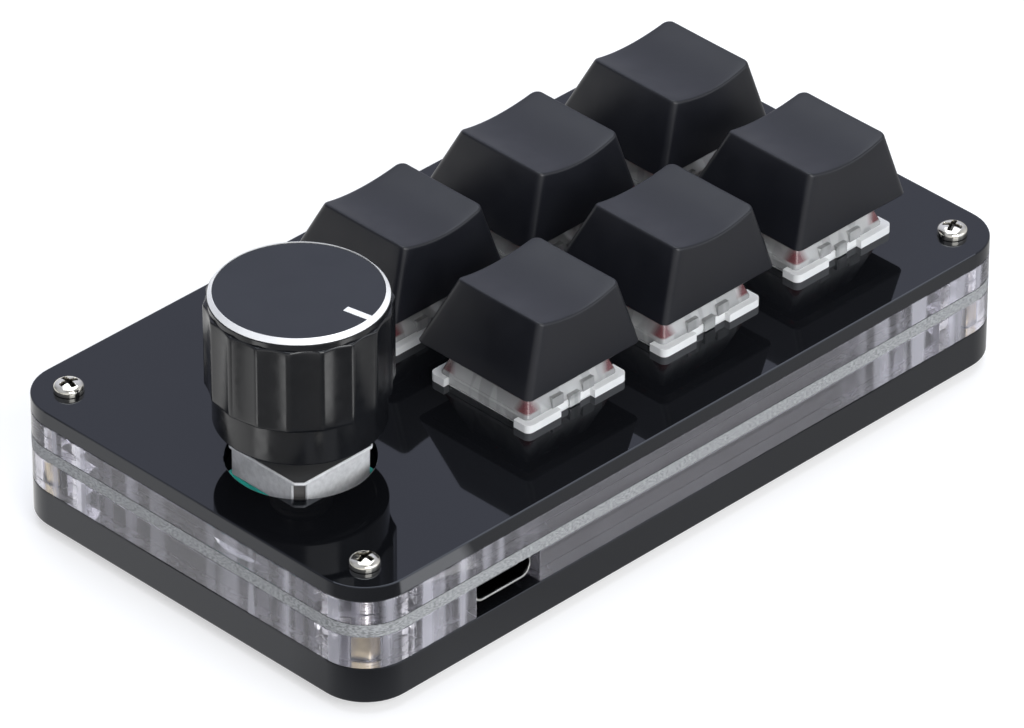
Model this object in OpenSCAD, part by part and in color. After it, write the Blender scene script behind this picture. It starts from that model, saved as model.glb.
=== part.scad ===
// Macro keypad: six sprung keys and one push-and-turn knob on a stack of acrylic layers.
// +X runs from the knob end to the far keys, -Y is the long side with the port, +Z is up.
// The origin is under the middle of the pad, on the surface that its rubber feet stand on.

/* [Body] */
// Length of every layer, along X
body_l = 102.5; // [96:0.5:120]
// Width of every layer, along Y
body_w = 56.8; // [54:0.2:70]
// Radius of the layers' upright corners
corner_r = 6; // [3:0.5:8]
// Wall of the two clear frames
frame_wall = 4; // [3:0.25:5]
// Radius of the lobe round each corner screw
lobe_r = 5; // [4.5:0.25:6]

/* [Layers] */
// Height of the rubber feet
foot_h = 1.5; // [1:0.25:4]
// Thickness of the black base plate
base_t = 4.5; // [4:0.25:8]
// Height of the lower clear frame
lower_t = 4.2; // [4:0.1:8]
// Thickness of the circuit board
board_t = 1.6; // [1.2:0.2:2]
// Height of the upper clear frame
upper_t = 3; // [2.8:0.1:4]
// Thickness of the black top plate
plate_t = 2; // [1.6:0.1:3]

/* [Keys] */
// Distance between the centres of neighbouring keys
key_pitch = 21.4; // [19:0.1:22]
// Distance from the far end of the body to the last column of keys
key_margin = 17.1; // [15:0.1:18]
// How far a key goes down
key_travel = 3.8; // [2:0.1:3.8]

/* [Switches] */
// Side of the square flange that lies on the top plate
flange_w = 15.6; // [15.4:0.1:16.4]
// Thickness of the flange
flange_t = 1; // [0.8:0.05:1.1]
// Side of the square body below the flange
switch_w = 13.9; // [13.5:0.1:14.2]
// Gap between the switch body and its hole in the plate, on each side
switch_gap = 0.05; // [0.05:0.05:0.2]
// Height of the clear cover's top above the plate
cover_top = 6.6; // [6.4:0.1:6.8]
// Radius of the pole that guides the stem
pole_r = 1.1; // [0.9:0.05:1.2]
// Radius of the boss that centres the switch in the board
boss_r = 2; // [1.9:0.05:2.2]
// Side of the stem's cross
cross_w = 4; // [3.6:0.1:4.2]
// Thickness of the cross's arms
cross_t = 1.2; // [1:0.05:1.3]
// Middle radius of the spring's coil
spring_r = 1.9; // [1.85:0.05:2]
// Radius of the spring's wire
wire_r = 0.2; // [0.15:0.05:0.2]

/* [Key caps] */
// Side of the cap at its lower edge
cap_base_w = 17.8; // [17.6:0.1:18.4]
// Height of the cap's lower edge above the plate
cap_bottom = 5.2; // [5.2:0.1:5.4]
// Height of the corners of the cap's top above the plate
cap_top = 14.1; // [13.8:0.1:16]
// Width of the cap's top, along X
cap_top_w = 12.3; // [12.2:0.1:14]
// Depth of the cap's top, along Y
cap_top_d = 13.1; // [12.8:0.1:14]
// How far the top leans towards -Y
cap_lean = 1.5; // [1:0.1:1.6]
// How far the hollow of the top sinks in its middle
cap_dish = 1.05; // [0.5:0.05:1.1]
// Thickness of the cap's walls and roof
cap_wall = 1.3; // [1:0.05:1.4]
// Radius of the cap's post round the stem's cross
post_r = 2.75; // [2.6:0.05:2.8]

/* [Knob] */
// Distance from the knob end of the body to the knob's axis
knob_margin = 14.35; // [14:0.05:16]
// Offset of the knob's axis from the middle of the body, along Y
knob_offset = -3.65; // [-5:0.05:5]
// Radius over the knob's flutes
knob_r = 10.5; // [10:0.1:11]
// Number of flutes round the knob
flute_count = 18; // [12:1:24]
// Depth of each flute in its middle
flute_depth = 0.28; // [0.15:0.01:0.35]
// Radius of the smooth skirt below the flutes
skirt_r = 9.7; // [9.5:0.05:9.9]
// Radius of the bright ring round the knob's top
ring_r = 10; // [9.9:0.05:10.1]
// Width of the bright ring
ring_w = 0.5; // [0.4:0.05:0.8]
// Thickness of the ring and of the face inside it
face_t = 0.3; // [0.2:0.05:0.5]
// Height of the knob's lower edge above the plate
knob_bottom = 5.2; // [4.6:0.1:5.4]
// Height of the skirt
skirt_h = 4.7; // [3:0.1:6]
// Height of the whole knob
knob_h = 16.6; // [16:0.1:20]
// How far the knob can be pushed down
push_travel = 0.5; // [0.2:0.05:0.5]

/* [Encoder] */
// Side of the encoder's square metal shell
encoder_w = 12; // [11.7:0.1:12.4]
// Height of the shell's top above the plate
encoder_top = 1.65; // [1.4:0.05:2]
// Radius of the hole in the plate round the encoder
encoder_hole_r = 8.43; // [8:0.01:8.7]
// Radius of the encoder's shaft
shaft_r = 3; // [2.8:0.05:3.1]
// Length of the shaft above the shell
shaft_l = 15; // [13:0.25:15.25]
// Height of the bushing above the shell
bushing_h = 5; // [4:0.25:5]
// Radius of the bushing
bushing_r = 3.5; // [3.4:0.05:3.8]

/* [Port] */
// Distance from the knob end of the body to the middle of the port
port_margin = 21.95; // [20:0.05:30]
// Width of the connector's shell
port_w = 8.94; // [8.8:0.02:9.1]
// Height of the connector's shell
port_h = 3.26; // [3.1:0.02:3.4]
// Depth of the connector from its mouth to its back
port_d = 7.35; // [7:0.05:9]
// How far the mouth lies inside the body's side
port_recess = 0.95; // [0:0.05:1.5]
// Gap between the connector and the notch in the lower frame, on each side
port_gap = 0.38; // [0.2:0.02:0.6]

/* [Screws] */
// Distance from the sides of the body to each corner screw
screw_inset = 4.8; // [4.6:0.1:6]
// Radius of the screws' thread
screw_r = 0.95; // [0.8:0.05:0.95]
// Radius of the screws' heads
head_r = 1.75; // [1.6:0.05:2]
// Height of the screws' heads
head_h = 1.3; // [1:0.05:1.5]
// Length of a screw in the spacer
screw_grip = 2; // [1.4:0.05:2]
// Distance over the flats of the brass spacers
spacer_w = 3.5; // [3.2:0.1:3.8]

/* [Feet] */
// Radius of the rubber feet
foot_r = 4; // [3:0.25:5]
// Distance from the sides of the body to the middle of each foot
foot_inset = 12.5; // [12:0.5:20]

/* [Hidden] */
$fn = 64;
key_columns = 3;
key_rows = 2;
key_count = key_columns * key_rows;

// Overshoot of a cut past the face that it opens
cut = 1;
// Running clearance round a shaft or a sliding stem
run = 0.05;

// Heights of the layers' lower faces
z_base = foot_h;
z_lower = z_base + base_t;
z_board = z_lower + lower_t;
z_upper = z_board + board_t;
z_plate = z_upper + upper_t;
z_top = z_plate + plate_t;

// Screws, spacers and feet
screw_x = body_l / 2 - screw_inset;
screw_y = body_w / 2 - screw_inset;
screw_gap = 0.15;
head_gap = 0.35;
head_depth = 0.7;
spacer_gap = 0.18;
screw_hole_r = screw_r + screw_gap;
counterbore_r = head_r + head_gap;
counterbore_h = head_h + head_depth;
spacer_r = spacer_w / sqrt(3);
spacer_hole_r = spacer_r + spacer_gap;
top_screw_l = z_top - z_board + screw_grip;
bottom_screw_l = base_t - counterbore_h + screw_grip;
head_crown = 0.45;
thread_tip = 0.2;
thread_taper = 0.3;
head_turn = 20;
recess_w = 0.6;
recess_l = 2.3;
recess_h = 0.8;
foot_round = 0.4;
foot_edge = min(foot_round, foot_h / 3);

// Places of the keys, the knob and the port
function key_x(i) = body_l / 2 - key_margin - (key_columns - 1 - (i - 1) % key_columns) * key_pitch;
function key_y(i) = (floor((i - 1) / key_columns) - (key_rows - 1) / 2) * key_pitch;
knob_x = knob_margin - body_l / 2;
port_x = port_margin - body_l / 2;
mouth_y = port_recess - body_w / 2;

// Inside of a switch, heights from the plate's top down or up
floor_t = 1;
switch_wall = 0.95;
switch_floor = z_upper + floor_t;
cover_wall = 0.9;
cover_roof = 1;
cover_side = 1.4;
cover_front = 1.8;
cover_w = flange_w - cover_side;
cover_d = flange_w - cover_front;
cover_top_w = 10;
cover_top_d = 9.6;
cover_corner_r = 0.6;
cover_inner_r = 0.3;
cover_gap = 0.1;
cover_lap = 0.5;
catch_out = 0.45;
catch_t = 0.3;
catch_w = 1.6;
catch_h = 0.6;
catch_lift = 0.15;
rib_out = 0.15;
rib_t = 0.7;
rib_w = 1.7;
rib_h = 1.3;
rib_x = 2.4;
flange_corner_r = 0.8;
notch_l = 5.3;
notch_deep = 0.8;
tab_l = 2.3;
pole_tip = 0.6;
pole_root = 0.4;
collar_h = 1.2;
collar_r = 1.5;
pole_rest = switch_floor + collar_h - pole_tip;
pole_margin = 0.4;
boss_floor = 0.4;
bore_low = pole_rest - key_travel - pole_margin;
boss_low = bore_low - boss_floor;
neck_w = 6.4;
neck_d = 5.7;
neck_gap = 0.1;
shoulder_w = 8.2;
shoulder_d = 7.2;
shoulder_h = 4.5;
shoulder_top = z_top + cover_top - cover_roof - run;
stem_roof = 0.95;
spring_seat = shoulder_top - stem_roof;
spring_gap = 0.45;
stem_bore_r = spring_r + wire_r + spring_gap;
pole_gap = 0.1;
pole_bore_r = pole_r + pole_gap;
cross_h = 3.6;
cross_top = z_top + cover_top + cross_h;
cross_roof = 0.1;
post_gap = 0.3;
post_root = 0.3;
pin_w = 1;
pin_t = 0.3;
pin_reach = 1.7;
pin_hole_r = 0.65;
pin_places = [[-3.81, 2.54], [2.54, 5.08]];

// Spring: one unbroken helical tube
coil_turns = 6;
coil_steps = 8;
wire_sides = 6;
coil_low = switch_floor + wire_r;
coil_high = spring_seat - wire_r;

// Cap
cap_corner_r = 0.9;
cap_slab = 0.2;
cap_inner_top = cap_top - cap_dish - cap_wall;
cap_rise = (cap_inner_top - cap_bottom) / (cap_top - cap_bottom);
cap_inner_w = cap_base_w + (cap_top_w - cap_base_w) * cap_rise - 2 * cap_wall;
cap_inner_d = cap_base_w + (cap_top_d - cap_base_w) * cap_rise - 2 * cap_wall;
dish_over = 0.1;
dish_reach = cap_top_w / 2 + dish_over;
dish_r = (pow(dish_reach, 2) + pow(cap_dish, 2)) / (2 * cap_dish);

// Knob
flute_cut_r = 12;
shoulder_out = 0.1;
shoulder_r = ring_r + shoulder_out;
shoulder_drop = 1.3;
knob_edge = 0.4;
skirt_edge = 0.2;
face_fit = 0.02;
knob_wall = 1.5;
hub_r = 5;
knob_roof = 3;
hub_gap = 0.3;
hub_low = encoder_top + bushing_h + push_travel + hub_gap;
hub_round = 1;
d_flat = 1.5;
shaft_end_gap = 0.4;
z_knob = z_top + knob_bottom;
z_face = z_knob + knob_h - face_t;
face_sink = 0.1;
ring_flat = 0.05;
ring_chamfer = 0.4;
pointer_w = 0.9;
pointer_from = 6.2;
pointer_angle = -79;

// Encoder
shell_t = 0.4;
shell_skirt = 3.65;
shell_notch = 1.2;
base_h = z_top + encoder_top - shell_skirt - z_upper;
shell_lap = 0.9;
core_w = encoder_w - 2 * shell_t - 2 * run;
core_corner = 1.2;
core_wall = 0.35;
base_out = 0.1;
rotor_ledge = 2;
rotor_t = 1.25;
rotor_cavity_r = core_w / 2 - core_wall;
rotor_gap = 0.5;
rotor_r = rotor_cavity_r - rotor_gap;
detent_count = 20;
detent_r = 0.35;
detent_deep = 0.3;
dome_cavity_r = 3.6;
dome_r = 3;
dome_top_r = 1;
dome_h = 0.5;
dome_t = 0.12;
dome_gap = 0.1;
core_roof = 1.05;
thread_pitch = 0.75;
thread_deep = 0.3;
thread_from = 0.5;
bushing_edge = 0.4;
shaft_end_r = 2.2;
shaft_end_flat = 1.6;
shaft_lap = 0.2;
step_gap = 0.3;
flat_gap = 0.3;
z_shell = z_top + encoder_top;
z_core = z_upper + base_h;
z_rotor = z_upper + rotor_ledge + run;
shaft_step = z_rotor + rotor_t + push_travel + step_gap;
shaft_tip = z_upper + floor_t + dome_h + dome_gap;
encoder_pin_out = 1.5;
encoder_pin_x = encoder_w / 2 + encoder_pin_out;
encoder_pin_pitch = 2.5;
encoder_pin_w = 0.8;
encoder_pin_t = 0.4;
encoder_pin_r = 0.6;
encoder_pin_high = 0.9;
lug_w = 2;
lug_reach = 0.6;
lug_lap = 0.5;
lug_slot_w = 2.4;
lug_slot_d = 0.8;

// Port
port_wall = 0.3;
port_corner_r = 1.55;
tongue_w = 6.69;
tongue_t = 0.7;
tongue_back = 1.2;
tongue_short = 0.9;
tongue_lap = 0.5;
tongue_fit = 0.02;

// Parts under the board
chip_w = 7;
chip_t = 0.95;
chip_offset = 20.5;
chip_x = knob_x + chip_offset;
chip_gap = 2;
part_l = 1.6;
part_w = 0.8;
part_t = 0.55;
part_pitch = 2.6;
part_count = 6;

// ---- shared outlines ----

module rounded_outline(l, w, r) {
    square([l - 2 * r, w], center = true);
    square([l, w - 2 * r], center = true);
    for (x = [-1, 1], y = [-1, 1])
        translate([x * (l / 2 - r), y * (w / 2 - r)]) circle(r);
}

module body_outline() {
    rounded_outline(body_l, body_w, corner_r);
}

module at_screws() {
    for (x = [-1, 1], y = [-1, 1])
        translate([x * screw_x, y * screw_y, 0]) children();
}

module at_key(i) {
    translate([key_x(i), key_y(i), 0]) children();
}

module at_knob() {
    translate([knob_x, knob_offset, 0]) children();
}

module frame_ring(t) {
    linear_extrude(t) difference() {
        body_outline();
        difference() {
            square([body_l - 2 * frame_wall, body_w - 2 * frame_wall], center = true);
            for (x = [-1, 1], y = [-1, 1])
                translate([x * screw_x, y * screw_y]) circle(lobe_r);
        }
    }
}

// Bar with its middle at the origin, from low to high
module upright(w, d, low, high) {
    translate([-w / 2, -d / 2, low]) cube([w, d, high - low]);
}

module slab(w, d, z, r) {
    translate([0, 0, z]) linear_extrude(cap_slab) rounded_outline(w, d, r, $fn = 32);
}

// ---- layers ----

module top_plate() {
    hole_w = switch_w + 2 * switch_gap;
    color("#15161a") translate([0, 0, z_plate]) difference() {
        linear_extrude(plate_t) difference() {
            body_outline();
            for (i = [1:key_count]) translate([key_x(i), key_y(i)]) square(hole_w, center = true);
        }
        at_knob() translate([0, 0, -cut]) cylinder(h = plate_t + 2 * cut, r = encoder_hole_r);
        at_screws() translate([0, 0, -cut]) cylinder(h = plate_t + 2 * cut, r = screw_hole_r);
    }
}

module upper_frame() {
    color("#dfe6ea", 0.4) translate([0, 0, z_upper]) difference() {
        frame_ring(upper_t);
        at_screws() translate([0, 0, -cut]) cylinder(h = upper_t + 2 * cut, r = screw_hole_r);
    }
}

module circuit_board() {
    color("#2b2f33") translate([0, 0, z_board]) difference() {
        linear_extrude(board_t) difference() {
            body_outline();
            for (y = [-1, 1]) translate([knob_x, knob_offset + y * (encoder_w - shell_t) / 2])
                square([lug_slot_w, lug_slot_d], center = true);
        }
        at_screws() translate([0, 0, -cut]) cylinder(h = board_t + 2 * cut, r = screw_hole_r);
        for (i = [1:key_count]) at_key(i) translate([0, 0, -cut]) {
            cylinder(h = board_t + 2 * cut, r = boss_r + switch_gap);
            for (p = pin_places) translate([p[0], p[1], 0]) cylinder(h = board_t + 2 * cut, r = pin_hole_r);
        }
        at_knob() translate([0, 0, -cut]) at_encoder_pins()
            cylinder(h = board_t + 2 * cut, r = encoder_pin_r);
    }
}

module lower_frame() {
    notch_w = port_w + 2 * port_gap;
    color("#dfe6ea", 0.4) translate([0, 0, z_lower]) difference() {
        frame_ring(lower_t);
        at_screws() translate([0, 0, -cut]) cylinder(h = lower_t + 2 * cut, r = spacer_hole_r);
        translate([port_x - notch_w / 2, -body_w / 2 - cut, -cut])
            cube([notch_w, frame_wall + 2 * cut, lower_t + 2 * cut]);
    }
}

module base_plate() {
    color("#1c1d20") translate([0, 0, z_base]) difference() {
        linear_extrude(base_t) body_outline();
        at_screws() translate([0, 0, -cut]) {
            cylinder(h = base_t + 2 * cut, r = screw_hole_r);
            cylinder(h = counterbore_h + cut, r = counterbore_r);
        }
    }
}

module rubber_feet() {
    color("#26272a") for (x = [-1, 1], y = [-1, 1])
        translate([x * (body_l / 2 - foot_inset), y * (body_w / 2 - foot_inset), 0])
            rotate_extrude() polygon([
                [0, 0], [foot_r - foot_edge, 0], [foot_r, foot_edge], [foot_r, foot_h], [0, foot_h]
            ]);
}

// ---- fasteners ----

// Screw with its head's seat at z = 0 and its thread below
module screw(thread_l) {
    crown = head_h * head_crown;
    difference() {
        rotate_extrude() polygon(concat(
            [[0, -thread_l], [screw_r - thread_tip, -thread_l], [screw_r, thread_taper - thread_l]],
            [[screw_r, 0]],
            [[head_r, 0], [head_r, head_h - crown]],
            [for (a = [15:15:90]) [head_r * cos(a), head_h - crown + crown * sin(a)]]
        ));
        for (a = [0, 90]) rotate([0, 0, a]) upright(recess_l, recess_w, head_h - recess_h, head_h + cut);
    }
}

module top_screws() {
    color("#c9c9c6") at_screws() translate([0, 0, z_top]) rotate([0, 0, head_turn]) screw(top_screw_l);
}

module bottom_screws() {
    color("#c9c9c6") at_screws() translate([0, 0, z_base + counterbore_h])
        rotate([180, 0, head_turn]) screw(bottom_screw_l);
}

module spacers() {
    color("#c8a455") at_screws() translate([0, 0, z_lower]) difference() {
        cylinder(h = lower_t, r = spacer_r, $fn = 6);
        translate([0, 0, -cut]) cylinder(h = lower_t + 2 * cut, r = screw_r + run);
    }
}

// ---- switches ----

module flange_outline() {
    side_notch = flange_w - 2 * tab_l;
    difference() {
        rounded_outline(flange_w, flange_w, flange_corner_r);
        for (s = [-1, 1]) {
            translate([0, s * flange_w / 2]) square([notch_l, 2 * notch_deep], center = true);
            translate([s * flange_w / 2, 0])
                square([flange_w - cover_w + 2 * cover_wall, side_notch], center = true);
        }
    }
}

module switch_base(i) {
    inner = switch_w - 2 * switch_wall;
    color("#e4e7e7") at_key(i) {
        difference() {
            union() {
                translate([0, 0, z_top]) linear_extrude(flange_t) flange_outline();
                upright(switch_w, switch_w, z_upper, z_top);
                translate([0, 0, boss_low]) cylinder(h = switch_floor - boss_low, r = boss_r);
            }
            upright(inner, inner, switch_floor, z_top + flange_t + cut);
            pole_bore();
        }
        difference() {
            translate([0, 0, switch_floor]) cylinder(h = collar_h, r = collar_r);
            pole_bore();
        }
    }
}

module pole_bore() {
    translate([0, 0, bore_low]) cylinder(h = switch_floor + collar_h + cut - bore_low, r = pole_bore_r);
}

// Clear cover: drafted shell on the flange, with side skirts and the catches that hold it down
module switch_cover(i) {
    low = z_top + flange_t;
    high = z_top + cover_top;
    skirt_l = flange_w - 2 * tab_l - 2 * cover_gap;
    inner_top_w = cover_top_w - 2 * cover_wall;
    inner_top_d = cover_top_d - 2 * cover_wall;
    color("#eef2f3", 0.5) at_key(i) difference() {
        union() {
            hull() {
                slab(cover_w, cover_d, low, cover_corner_r);
                slab(cover_top_w, cover_top_d, high - cap_slab, cover_corner_r);
            }
            for (s = [-1, 1]) translate([s * (cover_w - cover_wall) / 2, 0, 0])
                upright(cover_wall - cover_gap, skirt_l, z_top + cover_gap, low + cover_lap);
            catch(catch_out, 2 * catch_out, catch_w, low, low + catch_h);
            catch(catch_out, catch_t, catch_w, z_top + catch_lift, low + catch_h);
            for (x = [-rib_x, rib_x]) translate([x, 0, 0]) catch(rib_out, rib_t, rib_w, low, low + rib_h);
        }
        hull() {
            slab(cover_w - 2 * cover_wall, cover_d - 2 * cover_wall, low - cap_slab, cover_inner_r);
            slab(inner_top_w, inner_top_d, high - cover_roof - cap_slab, cover_inner_r);
        }
        upright(neck_w + 2 * neck_gap, neck_d + 2 * neck_gap, low, high + cut);
    }
}

// Catch whose front face stands a distance out of the cover's lower front edge
module catch(out, thick, w, low, high) {
    translate([0, thick / 2 - out - cover_d / 2, 0]) upright(w, thick, low, high);
}

module cross(z, h, gap) {
    upright(cross_w + 2 * gap, cross_t + 2 * gap, z, z + h);
    upright(cross_t + 2 * gap, cross_w + 2 * gap, z, z + h);
}

module switch_stem(i) {
    neck_top = z_top + cover_top;
    color("#b5323a") at_key(i) {
        difference() {
            union() {
                upright(shoulder_w, shoulder_d, shoulder_top - shoulder_h, shoulder_top);
                upright(neck_w, neck_d, shoulder_top - shoulder_h, neck_top);
                cross(neck_top - cut, cross_top - neck_top + cut, 0);
            }
            translate([0, 0, shoulder_top - shoulder_h - cut])
                cylinder(h = spring_seat - shoulder_top + shoulder_h + cut, r = stem_bore_r);
        }
        translate([0, 0, pole_rest]) cylinder(h = spring_seat + pole_root - pole_rest, r = pole_r);
    }
}

function coil_point(n) = let (a = 360 * n / coil_steps, share = n / (coil_turns * coil_steps))
    [spring_r * cos(a), spring_r * sin(a), coil_low + (coil_high - coil_low) * share];

function wire_point(n, s) = let (a = 360 * n / coil_steps, b = 360 * s / wire_sides, p = coil_point(n))
    [p[0] + wire_r * cos(b) * cos(a), p[1] + wire_r * cos(b) * sin(a), p[2] + wire_r * sin(b)];

module key_spring(i) {
    rings = coil_turns * coil_steps;
    points = [for (n = [0:rings], s = [0:wire_sides - 1]) wire_point(n, s)];
    sides = [for (n = [0:rings - 1], s = [0:wire_sides - 1], h = [0, 1])
        let (t = (s + 1) % wire_sides, a = n * wire_sides, b = a + wire_sides)
            h == 0 ? [a + s, b + s, b + t] : [a + s, b + t, a + t]];
    ends = concat(
        [for (s = [1:wire_sides - 2]) [0, s, s + 1]],
        [for (s = [1:wire_sides - 2]) let (b = rings * wire_sides) [b, b + s + 1, b + s]]
    );
    color("#c8ccd0") at_key(i) polyhedron(points, concat(sides, ends));
}

// Least gap between one turn of the spring and the next, measured on the points of its middle line
coil_last = (coil_turns - 1) * coil_steps - 2;
coil_spans = [
    for (n = [0:coil_last], k = [coil_steps - 2:coil_steps + 2]) norm(coil_point(n + k) - coil_point(n))
];
echo(coil_gap = min(coil_spans) - 2 * wire_r);

module switch_contacts() {
    color("#c9b46a") for (i = [1:key_count]) at_key(i)
        for (p = pin_places) translate([p[0], p[1], 0])
            upright(pin_w, pin_t, z_board - pin_reach, z_upper);
}

// ---- key caps ----

module keycap(i) {
    low = z_top + cap_bottom;
    high = z_top + cap_top;
    inner_high = z_top + cap_inner_top;
    post_low = z_top + cover_top + post_gap;
    color("#232429") at_key(i) {
        difference() {
            hull() {
                slab(cap_base_w, cap_base_w, low, cap_corner_r);
                translate([0, -cap_lean, 0]) slab(cap_top_w, cap_top_d, high - cap_slab, cap_corner_r);
            }
            hull() {
                slab(cap_base_w - 2 * cap_wall, cap_base_w - 2 * cap_wall, low - cap_slab, cap_corner_r / 2);
                translate([0, -cap_lean * cap_rise, 0])
                    slab(cap_inner_w, cap_inner_d, inner_high - cap_slab, cap_corner_r / 2);
            }
            translate([0, 0, high - cap_dish + dish_r]) rotate([90, 0, 0])
                cylinder(h = 2 * cap_base_w, r = dish_r, center = true, $fn = 180);
        }
        difference() {
            translate([0, 0, post_low]) cylinder(h = inner_high - post_low + post_root, r = post_r);
            cross(post_low - cut, cross_top - post_low + cut + cross_roof, run);
        }
    }
}

// ---- encoder ----

module at_encoder_pins() {
    for (y = [-1:1]) translate([-encoder_pin_x, y * encoder_pin_pitch, 0]) children();
    for (y = [-1, 1]) translate([encoder_pin_x, y * encoder_pin_pitch, 0]) children();
}

// Square with its corners cut off
module clipped(w, corner) {
    difference() {
        square(w, center = true);
        for (x = [-1, 1], y = [-1, 1])
            translate([x * w / 2, y * w / 2]) rotate(45) square(corner, center = true);
    }
}

module encoder_base() {
    color("#2fa394") at_knob() difference() {
        upright(encoder_w - 2 * base_out, core_w, z_upper, z_core - run);
        translate([0, 0, z_upper + rotor_ledge]) cylinder(h = base_h, r = rotor_cavity_r);
        translate([0, 0, z_upper + floor_t]) cylinder(h = base_h, r = dome_cavity_r);
    }
}

// Folded shell whose Y walls reach further down than its X walls
module encoder_shell() {
    low = z_shell - shell_skirt;
    deep = low - shell_lap;
    inner = encoder_w - 2 * shell_t;
    color("#b9bcbe") at_knob() {
        difference() {
            upright(encoder_w, encoder_w, deep, z_shell);
            upright(inner, inner, deep - cut, z_shell - shell_t);
            upright(encoder_w + cut, inner, deep - cut, low);
            for (x = [-1, 1], y = [-1, 1]) translate([x * encoder_w / 2, y * encoder_w / 2, 0]) {
                upright(2 * shell_notch, 2 * shell_notch, deep - cut, z_shell - shell_t);
                rotate([0, 0, 45]) upright(shell_notch, shell_notch, z_shell - 2 * shell_t, z_shell + cut);
            }
            translate([0, 0, low]) cylinder(h = 2 * shell_skirt, r = bushing_r + run);
        }
        for (y = [-1, 1]) translate([0, y * (encoder_w - shell_t) / 2, 0])
            upright(lug_w, shell_t, z_board - lug_reach, deep + lug_lap);
    }
}

// Cast body that closes the encoder from above, with the threaded neck for the shaft
module encoder_bushing() {
    z_roof = z_shell - shell_t - core_roof;
    thread_low = z_shell + thread_from;
    thread_turns = floor((bushing_h - thread_from - bushing_edge) / thread_pitch);
    color("#a9abad") at_knob() difference() {
        union() {
            translate([0, 0, z_core]) linear_extrude(z_roof + core_roof - run - z_core)
                clipped(core_w, core_corner);
            rotate_extrude() polygon(concat(
                [[0, z_roof], [bushing_r, z_roof], [bushing_r, thread_low]],
                [for (n = [0:thread_turns - 1], s = [0, 1])
                    [bushing_r - thread_deep * (1 - s), thread_low + thread_pitch * (n + (1 + s) / 2)]],
                [[bushing_r - bushing_edge, z_shell + bushing_h], [0, z_shell + bushing_h]]
            ));
        }
        translate([0, 0, z_core - cut]) cylinder(h = z_roof - z_core + cut, r = rotor_cavity_r);
        translate([0, 0, z_core]) cylinder(h = z_shell + bushing_h + cut - z_core, r = shaft_r + run);
    }
}

module flatted(r, flat, h) {
    difference() {
        cylinder(h = h, r = r);
        translate([flat, -2 * r, -cut]) cube([2 * r, 4 * r, h + 2 * cut]);
    }
}

module encoder_rotor() {
    color("#3a3d40") at_knob() translate([0, 0, z_rotor]) difference() {
        cylinder(h = rotor_t, r = rotor_r);
        translate([0, 0, -cut]) flatted(shaft_end_r + run, shaft_end_flat + run, rotor_t + 2 * cut);
        for (n = [0:detent_count - 1]) rotate([0, 0, n * 360 / detent_count])
            translate([rotor_r, 0, rotor_t - detent_deep]) cylinder(h = cut, r = detent_r);
    }
}

// Pins bent down into the board, with their flat ends in the base
module encoder_pins() {
    high = z_upper + encoder_pin_high;
    flat_l = encoder_pin_out + base_out;
    color("#c9b46a") at_knob() for (s = [-1, 1], y = (s < 0 ? [-1:1] : [-1, 1]))
        translate([s * encoder_pin_x, y * encoder_pin_pitch, 0]) {
            upright(encoder_pin_t, encoder_pin_w, z_board - pin_reach, high);
            translate([-s * flat_l / 2, 0, 0]) upright(flat_l, encoder_pin_w, high - encoder_pin_t, high);
        }
}

module push_dome() {
    low = z_upper + floor_t;
    color("#d2d4d6") at_knob() translate([0, 0, low]) difference() {
        cylinder(h = dome_h, r1 = dome_r, r2 = dome_top_r);
        translate([0, 0, -dome_t]) cylinder(h = dome_h, r1 = dome_r, r2 = dome_top_r);
    }
}

// ---- knob ----

module knob_shaft() {
    shaft_top = z_shell + shaft_l;
    flat_low = z_top + hub_low + hub_round - flat_gap;
    color("#b4b6b8") at_knob() {
        translate([0, 0, shaft_tip]) flatted(shaft_end_r, shaft_end_flat, shaft_step - shaft_tip + shaft_lap);
        translate([0, 0, shaft_step]) cylinder(h = flat_low - shaft_step, r = shaft_r);
        translate([0, 0, flat_low]) flatted(shaft_r, d_flat, shaft_top - flat_low);
    }
}

module knob_body() {
    flute_low = z_knob + skirt_h;
    flute_high = z_face + face_t - shoulder_drop;
    hub = z_top + hub_low;
    shaft_room = z_shell + shaft_l + shaft_end_gap;
    color("#26282c") at_knob() difference() {
        rotate_extrude() polygon([
            [0, z_knob], [skirt_r - skirt_edge, z_knob], [skirt_r, z_knob + skirt_edge], [skirt_r, flute_low],
            [knob_r - knob_edge, flute_low], [knob_r, flute_low + knob_edge],
            [knob_r, flute_high - knob_edge], [shoulder_r, flute_high], [shoulder_r, z_face], [0, z_face]
        ]);
        for (n = [0:flute_count - 1]) rotate([0, 0, (n + 0.5) * 360 / flute_count])
            translate([knob_r - flute_depth + flute_cut_r, 0, flute_low - cut / 2])
                cylinder(h = flute_high - flute_low + cut / 2, r = flute_cut_r);
        difference() {
            translate([0, 0, z_knob - cut]) cylinder(h = knob_h - knob_roof + cut, r = skirt_r - knob_wall);
            translate([0, 0, hub]) cylinder(h = knob_h, r = hub_r);
        }
        translate([0, 0, hub - cut]) cylinder(h = hub_round + cut, r = shaft_r + run);
        translate([0, 0, hub]) flatted(shaft_r + run, d_flat + run, shaft_room - hub);
    }
}

module pointer_outline(grow) {
    rotate([0, 0, pointer_angle]) translate([pointer_from - grow, -pointer_w / 2 - grow])
        square([ring_r - pointer_from + grow, pointer_w + 2 * grow]);
}

module knob_disc() {
    color("#42454f") at_knob() translate([0, 0, z_face]) linear_extrude(face_t - face_sink) difference() {
        circle(ring_r - ring_w - face_fit);
        pointer_outline(face_fit);
    }
}

module knob_pointer() {
    color("#d9dbdd") at_knob() translate([0, 0, z_face]) linear_extrude(face_t - face_sink) intersection() {
        circle(ring_r - ring_w - face_fit);
        pointer_outline(0);
    }
}

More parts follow.
